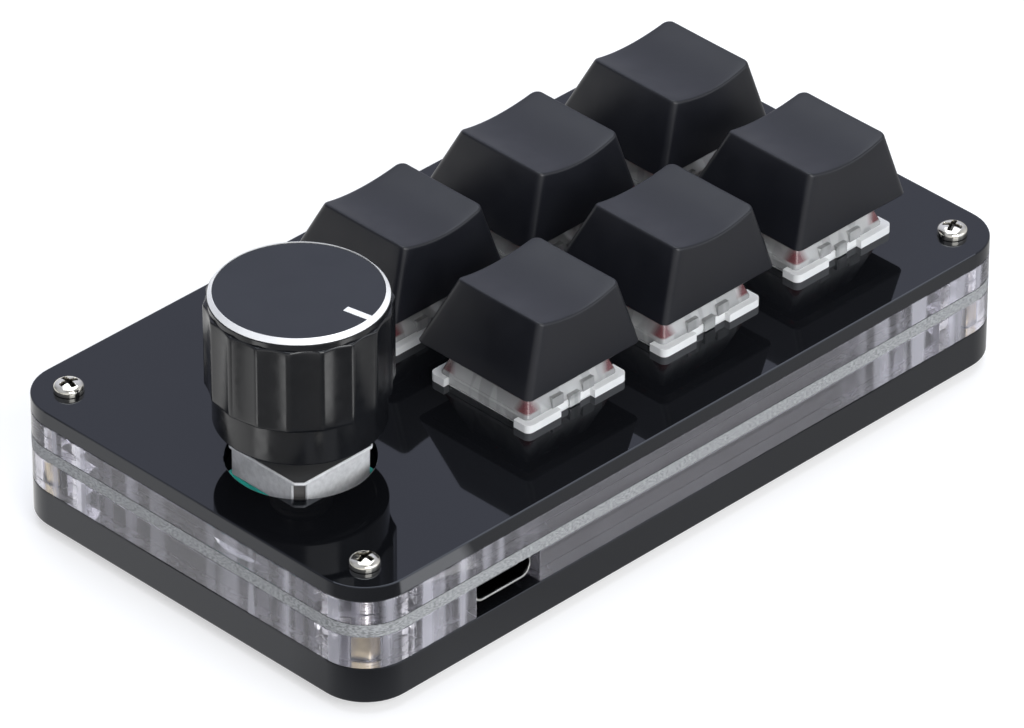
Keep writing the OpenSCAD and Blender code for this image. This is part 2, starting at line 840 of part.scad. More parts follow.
module knob_ring() {
    inner = ring_r - ring_w;
    color("#e2e3e5") at_knob() rotate_extrude() polygon([
        [inner, z_face], [ring_r, z_face], [ring_r, z_face + ring_flat],
        [ring_r - ring_chamfer, z_face + face_t], [inner, z_face + face_t]
    ]);
}

// ---- port and board parts ----

module port_outline(grow) {
    rounded_outline(port_w + 2 * grow, port_h + 2 * grow, port_corner_r + grow);
}

// Lays an outline drawn in X and Z at the port's mouth, and runs it inwards
module at_port(from, long) {
    translate([port_x, mouth_y + from + long, z_board - port_h / 2]) rotate([90, 0, 0])
        linear_extrude(long) children();
}

module port_shell() {
    color("#c4c6c8") {
        at_port(0, port_d) difference() {
            port_outline(0);
            port_outline(-port_wall);
        }
        at_port(port_d - port_wall, port_wall) port_outline(0);
    }
}

module port_tongue() {
    color("#16171a") {
        at_port(port_d - port_wall - tongue_back, tongue_back) port_outline(-port_wall - tongue_fit);
        at_port(tongue_short, port_d - port_wall - tongue_short - tongue_lap)
            square([tongue_w, tongue_t], center = true);
    }
}

module controller_chip() {
    color("#1d1e21") translate([chip_x, 0, 0]) upright(chip_w, chip_w, z_board - chip_t, z_board);
}

module board_parts() {
    color("#8d7b62") for (n = [0:part_count - 1], s = [-1, 1])
        translate([chip_x + (n - (part_count - 1) / 2) * part_pitch, s * (chip_w / 2 + chip_gap), 0])
            upright(part_w, part_l, z_board - part_t, z_board);
}

// ---- nodes ----

top_plate();
upper_frame();
circuit_board();
lower_frame();
base_plate();
rubber_feet();
top_screws();
bottom_screws();
spacers();
switch_contacts();
for (i = [1:key_count]) {
    switch_base(i);
    switch_cover(i);
    switch_stem(i);
    key_spring(i);
    keycap(i);
}
encoder_base();
encoder_shell();
encoder_bushing();
encoder_rotor();
encoder_pins();
push_dome();
knob_shaft();
knob_body();
knob_disc();
knob_ring();
knob_pointer();
port_shell();
port_tongue();
controller_chip();
board_parts();
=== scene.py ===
"""Visual model of a macro keypad: six sprung keys and one push-and-turn knob on a stack of acrylic layers.

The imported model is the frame. Every piece here lies where its CAD node lies, in metres, and sizes in the classes
below are in millimetres.
"""

from __future__ import annotations

import logging
import math
from dataclasses import dataclass
from enum import Enum
from functools import reduce
from typing import Mapping, Sequence

import bmesh
import bpy
from mathutils import Matrix, Vector


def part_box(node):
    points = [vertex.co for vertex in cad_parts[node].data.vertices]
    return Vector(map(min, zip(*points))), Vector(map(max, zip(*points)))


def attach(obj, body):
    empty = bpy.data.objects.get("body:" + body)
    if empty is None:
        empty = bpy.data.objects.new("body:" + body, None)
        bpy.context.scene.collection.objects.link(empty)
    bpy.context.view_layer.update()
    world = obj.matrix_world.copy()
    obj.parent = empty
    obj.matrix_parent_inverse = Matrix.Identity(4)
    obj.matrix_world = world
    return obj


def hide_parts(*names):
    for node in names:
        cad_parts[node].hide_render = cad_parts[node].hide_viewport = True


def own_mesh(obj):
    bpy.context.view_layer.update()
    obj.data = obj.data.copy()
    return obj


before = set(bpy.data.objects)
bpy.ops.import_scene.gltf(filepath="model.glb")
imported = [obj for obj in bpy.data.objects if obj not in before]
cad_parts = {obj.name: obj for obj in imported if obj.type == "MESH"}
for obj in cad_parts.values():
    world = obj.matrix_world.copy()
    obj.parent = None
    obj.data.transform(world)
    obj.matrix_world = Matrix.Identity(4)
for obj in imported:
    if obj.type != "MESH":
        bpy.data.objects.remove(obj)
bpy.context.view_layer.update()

LOG = logging.getLogger("keypad")
MM = 0.001
MERGE_GAP = 0.001
SHADING_CREASE = 12.0
ROUNDING_CREASE = 30.0
ROUNDING_FACETS = 2
KEY_COUNT = 6
KEY_PLACE = (34.15, 10.7)
KEY_PITCH = 21.4
KNOB_AXIS = (-0.0369, -0.00365, 0.0)
ROOT = "root"
KNOB = "knob"

Colour = tuple[float, float, float]
Point = tuple[float, float, float]
Flat = tuple[float, float]
Rows = Sequence[Sequence[Point]]
Piece = bpy.types.Object
Socket = bpy.types.NodeSocket
Inputs = Mapping[int | str, object]


def rgba(colour: Colour) -> tuple[float, float, float, float]:
    """Return a colour with full alpha."""
    return (*colour, 1.0)


def scaled(colour: Colour, factor: float) -> Colour:
    """Return a colour made darker or lighter."""
    return tuple(min(1.0, part * factor) for part in colour)


def metres(*sizes: float) -> tuple[float, ...]:
    """Return sizes in mm as metres."""
    return tuple(size * MM for size in sizes)


# ---- node trees ----


class Tree:
    """A node tree with short calls that add and join its nodes."""

    def __init__(self, tree: bpy.types.NodeTree) -> None:
        """Start from an empty tree."""
        self.tree = tree
        self.tree.nodes.clear()

    def add(self, kind: str, inputs: Inputs | None = None, **settings: object) -> bpy.types.Node:
        """Add one node.

        Args:
            kind: Blender's type name of the node.
            inputs: A value or an output socket for each input, by name or number.
            settings: Values for the node's own properties.

        Returns:
            The new node.
        """
        node = self.tree.nodes.new(kind)
        for key, value in settings.items():
            setattr(node, key, value)
        for key, value in (inputs or {}).items():
            if isinstance(value, Socket):
                self.tree.links.new(value, node.inputs[key])
            else:
                node.inputs[key].default_value = value
        return node

    def math(self, operation: str, *values: float | Socket) -> Socket:
        """Return the result of a math node on one, two or three values."""
        return self.add("ShaderNodeMath", dict(enumerate(values)), operation=operation).outputs[0]

    def product(self, *values: float | Socket) -> Socket:
        """Return the product of two or more values."""
        return reduce(lambda first, second: self.math("MULTIPLY", first, second), values)

    def vector(self, operation: str, inputs: Inputs, output: int = 0) -> Socket:
        """Return an output of a vector math node: 0 is its vector, 1 its value."""
        return self.add("ShaderNodeVectorMath", inputs, operation=operation).outputs[output]

    def parts(self, vector: Socket) -> Sequence[Socket]:
        """Return the X, Y and Z parts of a vector."""
        return self.add("ShaderNodeSeparateXYZ", {0: vector}).outputs

    def reach(self, x: Socket, y: Socket) -> Socket:
        """Return how far a place is from the origin, from its two level parts."""
        return self.math("SQRT", self.math("ADD", self.product(x, x), self.product(y, y)))


class Shading(Tree):
    """The node tree of one new material."""

    def __init__(self, name: str) -> None:
        """Make the material and its object coordinates.

        Args:
            name: Name of the material.
        """
        self.material = bpy.data.materials.new(name)
        self.material.use_nodes = True
        super().__init__(self.material.node_tree)
        self.coords = self.add("ShaderNodeTexCoord").outputs["Object"]

    def along(self, way: Vector) -> Socket:
        """Return how far a place lies along a direction, in metres."""
        return self.vector("DOT_PRODUCT", {0: self.coords, 1: tuple(way)}, 1)

    def placed(self, stretch: Point = (1, 1, 1), centre: Point = (0, 0, 0)) -> Socket:
        """Return object coordinates measured from a centre in metres and stretched along each axis."""
        shift = tuple(-c * s for c, s in zip(centre, stretch))
        return self.add("ShaderNodeMapping", {0: self.coords, "Location": shift, "Scale": stretch}).outputs[0]

    def noise(self, size: float, detail: float = 3.0, stretch: Point = (1, 1, 1)) -> Socket:
        """Return a pattern from 0 to 1 with features of a size in mm, drawn out where the stretch is small."""
        inputs = {"Vector": self.placed(stretch), "Scale": 1 / (size * MM), "Detail": detail}
        return self.add("ShaderNodeTexNoise", inputs).outputs["Fac"]

    def spread(self, value: Socket, low: float, high: float, source: Flat = (0.3, 0.7)) -> Socket:
        """Return a value mapped from its source span to the span from low to high, and held within it."""
        return self.add("ShaderNodeMapRange", {0: value, 1: source[0], 2: source[1], 3: low, 4: high}).outputs[0]

    def mix(self, share: Socket | float, first: Colour | Socket, second: Colour | Socket) -> Socket:
        """Return the blend of two colours with a share of the second."""
        pair = [c if isinstance(c, Socket) else rgba(c) for c in (first, second)]
        return self.add("ShaderNodeMix", {0: share, 6: pair[0], 7: pair[1]}, data_type="RGBA").outputs[2]

    def bump(self, height: Socket, depth: float, normal: Socket | None = None) -> Socket:
        """Return a normal pushed about by a height pattern.

        Args:
            height: The pattern, from 0 to 1.
            depth: Depth of the pattern in mm.
            normal: A normal that is already bumped.

        Returns:
            The new normal.
        """
        inputs: dict[int | str, object] = {"Height": height, "Distance": depth * MM, "Strength": 1.0}
        if normal is not None:
            inputs["Normal"] = normal
        return self.add("ShaderNodeBump", inputs).outputs[0]

    def upward(self) -> Socket:
        """Return how far the surface faces up: 1 for a level top, -1 for a level underside."""
        return self.parts(self.add("ShaderNodeNewGeometry").outputs["True Normal"])[2]

    def levelness(self) -> Socket:
        """Return 1 on tops and undersides, and 0 on walls."""
        return self.math("GREATER_THAN", self.math("ABSOLUTE", self.upward()), 0.5)

    def surface(self, **inputs: object) -> bpy.types.Material:
        """Close the tree with a Principled shader.

        Args:
            inputs: Its inputs, with an underscore for each space in a name.

        Returns:
            The finished material.
        """
        shader = self.add("ShaderNodeBsdfPrincipled", {key.replace("_", " "): inputs[key] for key in inputs})
        self.add("ShaderNodeOutputMaterial", {"Surface": shader.outputs[0]})
        return self.material


# ---- finishes ----


@dataclass(frozen=True)
class Finish:
    """A moulded, cast or plated surface with fine grain, uneven colour and uneven gloss.

    Attributes:
        name: Name of the material.
        colour: Its main colour, linear.
        roughness: Its mean roughness.
        metallic: 1 for bare metal.
        transmission: Share of light that passes through.
        ior: Index of refraction.
        mottle: Share by which the colour varies.
        mottle_size: Size of the patches of colour in mm.
        grain: Depth of the grain in mm.
        grain_size: Size of the grain in mm.
        unevenness: How much the roughness varies.
        glint: Tint of what it mirrors.
    """

    name: str
    colour: Colour
    roughness: float = 0.4
    metallic: float = 0.0
    transmission: float = 0.0
    ior: float = 1.5
    mottle: float = 0.15
    mottle_size: float = 3.0
    grain: float = 0.003
    grain_size: float = 0.25
    unevenness: float = 0.06
    glint: Colour = (1.0, 1.0, 1.0)

    def tinted(self, shading: Shading) -> Socket:
        """Return the uneven colour."""
        shades = [scaled(self.colour, 1 + way * self.mottle) for way in (-1, 1)]
        return shading.mix(shading.spread(shading.noise(self.mottle_size), 0.0, 1.0), *shades)

    def dimmed(self, shading: Shading, mask: Socket, share: float) -> Socket:
        """Return the uneven colour, with only a share of it left where a mask is 1."""
        return shading.mix(mask, Finish.tinted(self, shading), scaled(self.colour, share))

    def gloss(self, shading: Shading) -> Socket:
        """Return the uneven roughness."""
        low = max(0.0, self.roughness - self.unevenness)
        return shading.spread(shading.noise(self.mottle_size / 2, 4.0), low, self.roughness + self.unevenness)

    def relief(self, shading: Shading) -> Socket:
        """Return the normal with its grain."""
        return shading.bump(shading.noise(self.grain_size, 2.0), self.grain)

    def passing(self, shading: Shading) -> Socket | float:
        """Return the share of light that passes through."""
        return self.transmission

    def build(self) -> bpy.types.Material:
        """Make the material.

        Returns:
            The new material.
        """
        shading = Shading(self.name)
        return shading.surface(
            Base_Color=self.tinted(shading),
            Roughness=self.gloss(shading),
            Metallic=self.metallic,
            Transmission_Weight=self.passing(shading),
            IOR=self.ior,
            Specular_Tint=rgba(self.glint),
            Normal=self.relief(shading),
        )


@dataclass(frozen=True)
class DeepFinish(Finish):
    """A plated sleeve along Y with painted shade: full colour at its mouth, darker further in, where shade falls.

    Attributes:
        mouth: Place of the mouth along Y in mm.
        fade: Distance over which the painted shade deepens, in mm.
        shade_share_inside: Share of the colour that is left further in.
    """

    mouth: float = 0.0
    fade: float = 0.35
    shade_share_inside: float = 0.04

    def tinted(self, shading: Shading) -> Socket:
        """Return the uneven colour, with painted shade further in."""
        depth = shading.spread(shading.parts(shading.coords)[1], 0.0, 1.0, metres(self.mouth, self.mouth + self.fade))
        return self.dimmed(shading, depth, self.shade_share_inside)


@dataclass(frozen=True)
class FoldedFinish(Finish):
    """Plated sheet folded into a box, with bright walls and folds and painted shade on its top, where the knob above
    shades it.

    Attributes:
        shade_share_on_top: Share of the colour that is left on the top.
        level: How far a face has to face up to count as the top.
    """

    shade_share_on_top: float = 0.12
    level: float = 0.97

    def tinted(self, shading: Shading) -> Socket:
        """Return the uneven colour, with painted shade on the top."""
        return self.dimmed(shading, shading.math("GREATER_THAN", shading.upward(), self.level), self.shade_share_on_top)


@dataclass(frozen=True)
class RecessedFinish(Finish):
    """Plated metal with painted shade where its attribute "recess" is 1.

    Attributes:
        dark: Share of the colour that the painted shade leaves in the recess.
    """

    dark: float = 0.06

    def tinted(self, shading: Shading) -> Socket:
        """Return the uneven colour, with painted shade in the recess."""
        recess = shading.add("ShaderNodeAttribute", attribute_name="recess").outputs["Fac"]
        return self.dimmed(shading, recess, self.dark)


@dataclass(frozen=True)
class BoardFinish(Finish):
    """Circuit board: dark mask on its two faces and pale glass layers at its edge.

    Attributes:
        edge_colour: Colour of the glass layers.
        edge_shade: Share of that colour that is left between the layers.
        edge_roughness: Roughness of the edge.
        layer: Height of one glass layer in mm.
        layer_span: Values of the pattern between which a layer turns pale.
    """

    edge_colour: Colour = (0.41, 0.42, 0.425)
    edge_shade: float = 0.45
    edge_roughness: float = 0.55
    layer: float = 0.4
    layer_span: Flat = (0.4, 0.62)

    def weave(self, shading: Shading) -> Socket:
        """Return the pattern of the glass layers."""
        return shading.noise(self.layer, 5.0, (1.0, 1.0, 3.0))

    def tinted(self, shading: Shading) -> Socket:
        """Return the mask's colour on the faces and the glass layers' on the edge.

        Args:
            shading: The material's tree.

        Returns:
            The colour output.
        """
        layers = shading.spread(self.weave(shading), 0.0, 1.0, self.layer_span)
        edge = shading.mix(layers, scaled(self.edge_colour, self.edge_shade), self.edge_colour)
        return shading.mix(shading.levelness(), edge, super().tinted(shading))

    def gloss(self, shading: Shading) -> Socket:
        """Return the roughness, lower on the faces."""
        change = shading.product(shading.levelness(), self.edge_roughness - self.roughness)
        return shading.math("SUBTRACT", self.edge_roughness, change)

    def relief(self, shading: Shading) -> Socket:
        """Return the normal with the relief of the glass layers, which only the edge has."""
        is_edge = shading.math("SUBTRACT", 1.0, shading.levelness())
        return shading.bump(shading.product(self.weave(shading), is_edge), self.grain)


@dataclass(frozen=True)
class TurnedFinish(Finish):
    """Metal turned on a lathe: fine rings round the knob's axis.

    Attributes:
        ring_pitch: Distance between the rings in mm.
    """

    ring_pitch: float = 0.12

    def relief(self, shading: Shading) -> Socket:
        """Return the normal with its turned rings.

        Args:
            shading: The material's tree.

        Returns:
            The normal output.
        """
        x, y, _ = shading.parts(shading.placed(centre=KNOB_AXIS))
        turns = shading.product(shading.reach(x, y), math.tau / (self.ring_pitch * MM))
        rings = shading.spread(shading.math("SINE", turns), 0.0, 1.0, (-1.0, 1.0))
        return shading.bump(rings, self.grain)


@dataclass(frozen=True)
class ClearFinish(Finish):
    """Clear acrylic with a slight haze, and bright upright bands where it is solid round the corner screws.

    Attributes:
        haze: Share of light that the surface scatters everywhere.
        frost: Share that a bright band scatters besides.
        corner: Place of a corner screw on each side of the middle in mm.
        corner_span: Distances from a corner screw between which the bands fade in mm.
        band: Width of a band in mm.
        band_span: Values of the pattern between which a band brightens.
        mark: Width of a cutting mark in mm.
        mark_depth: Depth of the marks in mm.
        upright: Stretch that draws bands and marks out along Z.
    """

    haze: float = 0.055
    frost: float = 0.3
    corner: Flat = (46.45, 23.6)
    corner_span: Flat = (13.0, 25.0)
    band: float = 2.4
    band_span: Flat = (0.48, 0.6)
    mark: float = 1.1
    mark_depth: float = 0.006
    upright: Point = (1.0, 1.0, 0.04)

    def near_corner(self, shading: Shading) -> Socket:
        """Return 1 near a corner screw and 0 between the corners.

        Args:
            shading: The material's tree.

        Returns:
            The value output.
        """
        places = zip(shading.parts(shading.coords), metres(*self.corner))
        aside = [shading.math("SUBTRACT", shading.math("ABSOLUTE", part), place) for part, place in places]
        return shading.spread(shading.reach(*aside), 1.0, 0.0, metres(*self.corner_span))

    def passing(self, shading: Shading) -> Socket:
        """Return the share of light that passes, smaller in the bright bands.

        Args:
            shading: The material's tree.

        Returns:
            The value output.
        """
        bands = shading.spread(shading.noise(self.band, 1.0, self.upright), 0.0, self.frost, self.band_span)
        bright = shading.product(bands, self.near_corner(shading))
        return shading.math("SUBTRACT", 1.0, shading.math("ADD", bright, self.haze))

    def relief(self, shading: Shading) -> Socket:
        """Return the normal with its grain, and on the walls with the cutting marks.

        Args:
            shading: The material's tree.

        Returns:
            The normal output.
        """
        is_wall = shading.math("SUBTRACT", 1.0, shading.levelness())
        marks = shading.product(shading.noise(self.mark, 2.0, self.upright), is_wall)
        return shading.bump(marks, self.mark_depth, super().relief(shading))


@dataclass(frozen=True)
class CoverFinish(Finish):
    """Clear moulded cover with pale and darker patches that stand in for the parts inside it, partly their own tones
    and partly painted light and shade, and a glimpse of the stem at its corners.

    Attributes:
        patch: Width of a patch in mm.
        patch_span: Values of the pattern between which a patch turns darker.
        upright: Stretch that draws the patches out along Z.
        shade: Share of the colour that is left in a darker patch.
        stem: Colour of the stem behind the corners, linear.
        stem_reach: Distances along X and Y together from a key's middle over which the stem begins to show, in mm.
        stem_low: Heights over which the stem begins to show, in mm.
    """

    patch: float = 1.3
    patch_span: Flat = (0.46, 0.54)
    upright: Point = (1.0, 1.0, 0.1)
    shade: float = 0.78
    stem: Colour = (0.33, 0.1, 0.115)
    stem_reach: Flat = (11.4, 12.5)
    stem_low: Flat = (18.3, 18.5)

    def tinted(self, shading: Shading) -> Socket:
        """Return the uneven colour with its patches of partly painted light and shade, and the stem.

        Args:
            shading: The material's tree.

        Returns:
            The colour output.
        """
        parts = shading.parts(shading.coords)
        half = KEY_PITCH * MM / 2
        aside = []
        for part, place in zip(parts, metres(*KEY_PLACE)):
            local = shading.math("WRAP", shading.math("SUBTRACT", part, place), half, -half)
            aside.append(shading.math("ABSOLUTE", local))
        corner = shading.spread(shading.math("ADD", *aside), 0.0, 1.0, metres(*self.stem_reach))
        stem = shading.product(corner, shading.spread(parts[2], 0.0, 1.0, metres(*self.stem_low)))
        # Patches of partly painted light and shade: random pale and darker upright bands for the lit and shaded parts
        # inside.
        patches = shading.spread(shading.noise(self.patch, 0.0, self.upright), 0.0, 1.0, self.patch_span)
        return shading.mix(stem, self.dimmed(shading, patches, self.shade), self.stem)


class Look(Enum):
    """Every finish, with a material slot name that is kept beside it but not used."""

    BLACK_ACRYLIC = "black_acrylic", Finish(
        "black acrylic", (0.0045, 0.0048, 0.0058), 0.035, mottle_size=30.0, grain=0.0005, grain_size=8.0,
        unevenness=0.015, ior=1.49, glint=(0.86, 0.9, 1.0),
    )
    CLEAR_ACRYLIC = "clear_acrylic", ClearFinish(
        "clear acrylic", (0.84, 0.83, 0.91), 0.04, ior=1.49, mottle=0.06, mottle_size=6.0, grain=0.0008,
        grain_size=4.0, unevenness=0.02,
    )
    BOARD = "board", BoardFinish("circuit board", (0.012, 0.013, 0.015), 0.3, grain=0.02, grain_size=0.4)
    RUBBER = "rubber", Finish("rubber", (0.02, 0.02, 0.021), 0.8, grain=0.01, grain_size=0.3)
    # The sleeve's inside is darkened with painted shade.
    SLEEVE = "nickel", DeepFinish("connector sleeve", (0.75, 0.75, 0.74), 0.25, 1.0, mouth=-27.45)
    NICKEL = "nickel", Finish(
        "nickel plate", (0.66, 0.65, 0.63), 0.14, 1.0, mottle=0.06, grain=0.002, mottle_size=0.8,
    )
    # The screws' cross recesses are darkened with painted shade.
    SCREW = "nickel", RecessedFinish(
        "screw plate", (0.86, 0.83, 0.74), 0.17, 1.0, mottle=0.06, grain=0.002, mottle_size=0.8,
    )
    # The shell's top is darkened with painted shade from the knob above.
    TIN = "nickel", FoldedFinish(
        "tin plate", (0.86, 0.87, 0.88), 0.42, 0.3, mottle=0.1, mottle_size=0.6, grain=0.006, grain_size=0.3,
    )
    BRASS = "brass", Finish("brass", (0.95, 0.79, 0.46), 0.34, 1.0, mottle=0.1, grain=0.003, mottle_size=1.0)
    CONTACT = "contact_metal", Finish(
        "tinned contact", (0.7, 0.68, 0.62), 0.3, 1.0, mottle=0.12, grain=0.004, mottle_size=0.7,
    )
    CAST = "contact_metal", Finish("cast zinc", (0.16, 0.155, 0.15), 0.5, 0.5, mottle=0.15, grain=0.006)
    TEAL = "teal_plastic", Finish("teal plastic", (0.05, 0.78, 0.64), 0.35)
    DARK = "dark_plastic", Finish("dark plastic", (0.015, 0.016, 0.018), 0.4)
    KNOB = "knob_plastic", Finish("knob plastic", (0.006, 0.0065, 0.0078), 0.2, grain=0.0015, grain_size=0.3)
    FACE = "knob_face", TurnedFinish(
        "knob face", (0.017, 0.019, 0.025), 0.36, 0.1, ior=1.4, grain=0.0012, mottle=0.05, mottle_size=6.0,
        ring_pitch=0.22,
    )
    BRIGHT = "bright_aluminium", Finish("cut aluminium", (0.94, 0.94, 0.93), 0.36, 0.3, mottle=0.03, grain=0.001)
    MILKY = "milky_plastic", Finish("milky plastic", (0.9, 0.91, 0.91), 0.35, mottle=0.04, grain=0.002)
    CLEAR = "clear_plastic", CoverFinish(
        "clear plastic", (0.96, 0.98, 0.98), 0.06, transmission=0.62, mottle=0.03, mottle_size=1.5, grain=0.004,
    )
    STEM = "stem_plastic", Finish("red plastic", (0.6, 0.05, 0.07), 0.35, mottle=0.08)
    SPRING = "spring_steel", Finish(
        "spring steel", (0.66, 0.67, 0.7), 0.22, 1.0, mottle=0.05, grain=0.001, mottle_size=0.5,
    )
    CAP = "keycap_plastic", Finish(
        "key cap plastic", (0.0078, 0.0084, 0.0118), 0.38, ior=1.46, mottle=0.1, mottle_size=6.0, grain=0.003,
        grain_size=0.16, unevenness=0.04,
    )
    CERAMIC = "ceramic_parts", Finish("ceramic", (0.3, 0.25, 0.18), 0.4, mottle=0.2, mottle_size=0.8)

    def __init__(self, slot: str, finish: Finish) -> None:
        """Keep both parts of the value."""
        self.slot = slot
        self.finish = finish


class Finishes:
    """Makes each finish once and hands out its material."""

    def __init__(self) -> None:
        """Make every finish."""
        self.made = {look: look.finish.build() for look in Look}

    def dress(self, piece: Piece, look: Look) -> None:
        """Give a piece one finish all over."""
        piece.data.materials.clear()
        piece.data.materials.append(self.made[look])


# ---- meshes ----


def box_mm(node: str) -> tuple[Vector, Vector]:
    """Return the lowest and the highest corner of a CAD node's box in mm."""
    low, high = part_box(node)
    return low / MM, high / MM


def middle(node: str) -> Vector:
    """Return the middle of a CAD node's box in metres."""
    low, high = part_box(node)
    return (low + high) / 2


def new_piece(name: str, mesh: bpy.types.Mesh) -> Piece:
    """Return a new object for a mesh, linked to the scene.

    Args:
        name: Name of the object.
        mesh: Its mesh.

    Returns:
        The object.
    """
    piece = bpy.data.objects.new(name, mesh)
    bpy.context.scene.collection.objects.link(piece)
    return piece


def baked(piece: Piece) -> Piece:
    """Turn what a piece's modifiers make into its own plain mesh.

    Args:
        piece: The object with modifiers.

    Returns:
        The same object, without modifiers.
    """
    bpy.context.view_layer.update()
    graph = bpy.context.evaluated_depsgraph_get()
    mesh = bpy.data.meshes.new_from_object(piece.evaluated_get(graph), depsgraph=graph)
    piece.modifiers.clear()
    piece.data = mesh
    return piece


def smooth(mesh: bpy.types.Mesh, crease: float) -> None:
    """Shade a mesh smooth, with sharp edges past an angle in degrees."""
    mesh.polygons.foreach_set("use_smooth", [True] * len(mesh.polygons))
    mesh.set_sharp_from_angle(angle=math.radians(crease))


def join_rows(graph: bmesh.types.BMesh, rows: Rows, loop: bool = False) -> None:
    """Join rows of points, each one closed on itself, into a skin.

    Args:
        graph: The mesh that the skin is added to.
        rows: Rows of equally many points.
        loop: Whether the last row is joined to the first, instead of closing both ends.
    """
    made = [[graph.verts.new(point) for point in row] for row in rows]
    for low, high in zip(made, made[1:] + (made[:1] if loop else [])):
        for k in range(len(low)):
            after = (k + 1) % len(low)
            graph.faces.new((low[k], low[after], high[after], high[k]))
    if not loop:
        graph.faces.new(reversed(made[0]))
        graph.faces.new(made[-1])


def skinned(node: str, rows: Rows, crease: float = 30.0, loop: bool = False, inset: Rows = ()) -> Piece:
    """Return a new closed piece for a CAD node, made of rows of points in mm.

    Args:
        node: Name of the node.
        rows: The rows of its skin.
        crease: Angle past which an edge is sharp, in degrees.
        loop: Whether the skin's last row is joined to its first.
        inset: Rows of a second skin, joined in a loop.

    Returns:
        The piece.
    """
    graph = bmesh.new()
    join_rows(graph, rows, loop)
    if inset:
        join_rows(graph, inset, loop=True)
    bmesh.ops.remove_doubles(graph, verts=graph.verts, dist=MERGE_GAP)
    bmesh.ops.recalc_face_normals(graph, faces=graph.faces)
    bmesh.ops.scale(graph, vec=(MM, MM, MM), verts=graph.verts)
    mesh = bpy.data.meshes.new(node)
    graph.to_mesh(mesh)
    graph.free()
    smooth(mesh, crease)
    return new_piece(f"{node}_detail", mesh)


def stand(piece: Piece, node: str) -> None:
    """Move a piece made round the Z axis to where its CAD node stands."""
    centre, low = middle(node), box_mm(node)[0]
    piece.data.transform(Matrix.Translation((centre.x, centre.y, low.z * MM)))


def turned_rows(profile: Sequence[Flat], angles: Sequence[float]) -> Rows:
    """Return rows of points for the radii and heights of a profile, turned round the Z axis."""
    return [[(r * math.cos(a), r * math.sin(a), z) for a in angles] for r, z in profile]


def even_angles(count: int) -> list[float]:
    """Return evenly spread angles round a circle in radians."""
    return [math.tau * k / count for k in range(count)]


def flat_copy(node: str, split: bool) -> bpy.types.Mesh:
    """Return a CAD node's mesh with its flat faces made whole.

    Args:
        node: Name of the node.
        split: Whether the whole faces are cut up into convex ones.

    Returns:
        The new mesh.
    """
    graph = bmesh.new()
    graph.from_mesh(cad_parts[node].data)
    bmesh.ops.remove_doubles(graph, verts=graph.verts, dist=MERGE_GAP * MM)
    flat = math.radians(0.5)
    bmesh.ops.dissolve_limit(graph, angle_limit=flat, verts=graph.verts, edges=graph.edges)
    if split:
        bmesh.ops.connect_verts_concave(graph, faces=graph.faces)
    mesh = bpy.data.meshes.new(node)
    graph.to_mesh(mesh)
    graph.free()
    mesh.materials.clear()
    return mesh


def tilted_area(mesh: bpy.types.Mesh) -> float:
    """Return the area of the triangles that lean out of their own face.

    Args:
        mesh: The mesh.

    Returns:
        The area in square metres, without the triangles that are too thin to have a direction.
    """
    mesh.calc_loop_triangles()
    least_area, least_cosine = 1e-12, 0.9
    wide = [triangle for triangle in mesh.loop_triangles if triangle.area > least_area]
    faces = mesh.polygons
    return sum(t.area for t in wide if t.normal.dot(faces[t.polygon_index].normal) < least_cosine)


def round_edges(piece: Piece, edge: float) -> tuple[float, bpy.types.Mesh]:
    """Round the edges of a piece.

    Args:
        piece: The piece.
        edge: Width of the rounding in mm.

    Returns:
        The area of its tilted triangles and its new mesh.
    """
    bevel = piece.modifiers.new("rounding", "BEVEL")
    bevel.width = edge * MM
    bevel.segments = ROUNDING_FACETS
    bevel.limit_method = "ANGLE"
    bevel.angle_limit = math.radians(ROUNDING_CREASE)
    bevel.use_clamp_overlap = True
    baked(piece)
    return tilted_area(piece.data), piece.data


def softened(node: str, edge: float) -> Piece:
    """Return a copy of a CAD node whose edges are rounded by a width in mm.

    Rounding can spoil a large face with holes in it, and which faces suffer depends on how they are cut up, so the
    flatter of two ways is kept.

    Args:
        node: Name of the node.
        edge: Width of the rounding in mm.

    Returns:
        The new piece.
    """
    piece = new_piece(f"{node}_detail", flat_copy(node, False))
    tries = [round_edges(piece, edge)]
    if tries[0][0]:
        piece.data = flat_copy(node, True)
        tries.append(round_edges(piece, edge))
    piece.data = min(tries, key=lambda made: made[0])[1]
    smooth(piece.data, SHADING_CREASE)
    return piece


# ---- patterns in Geometry Nodes ----


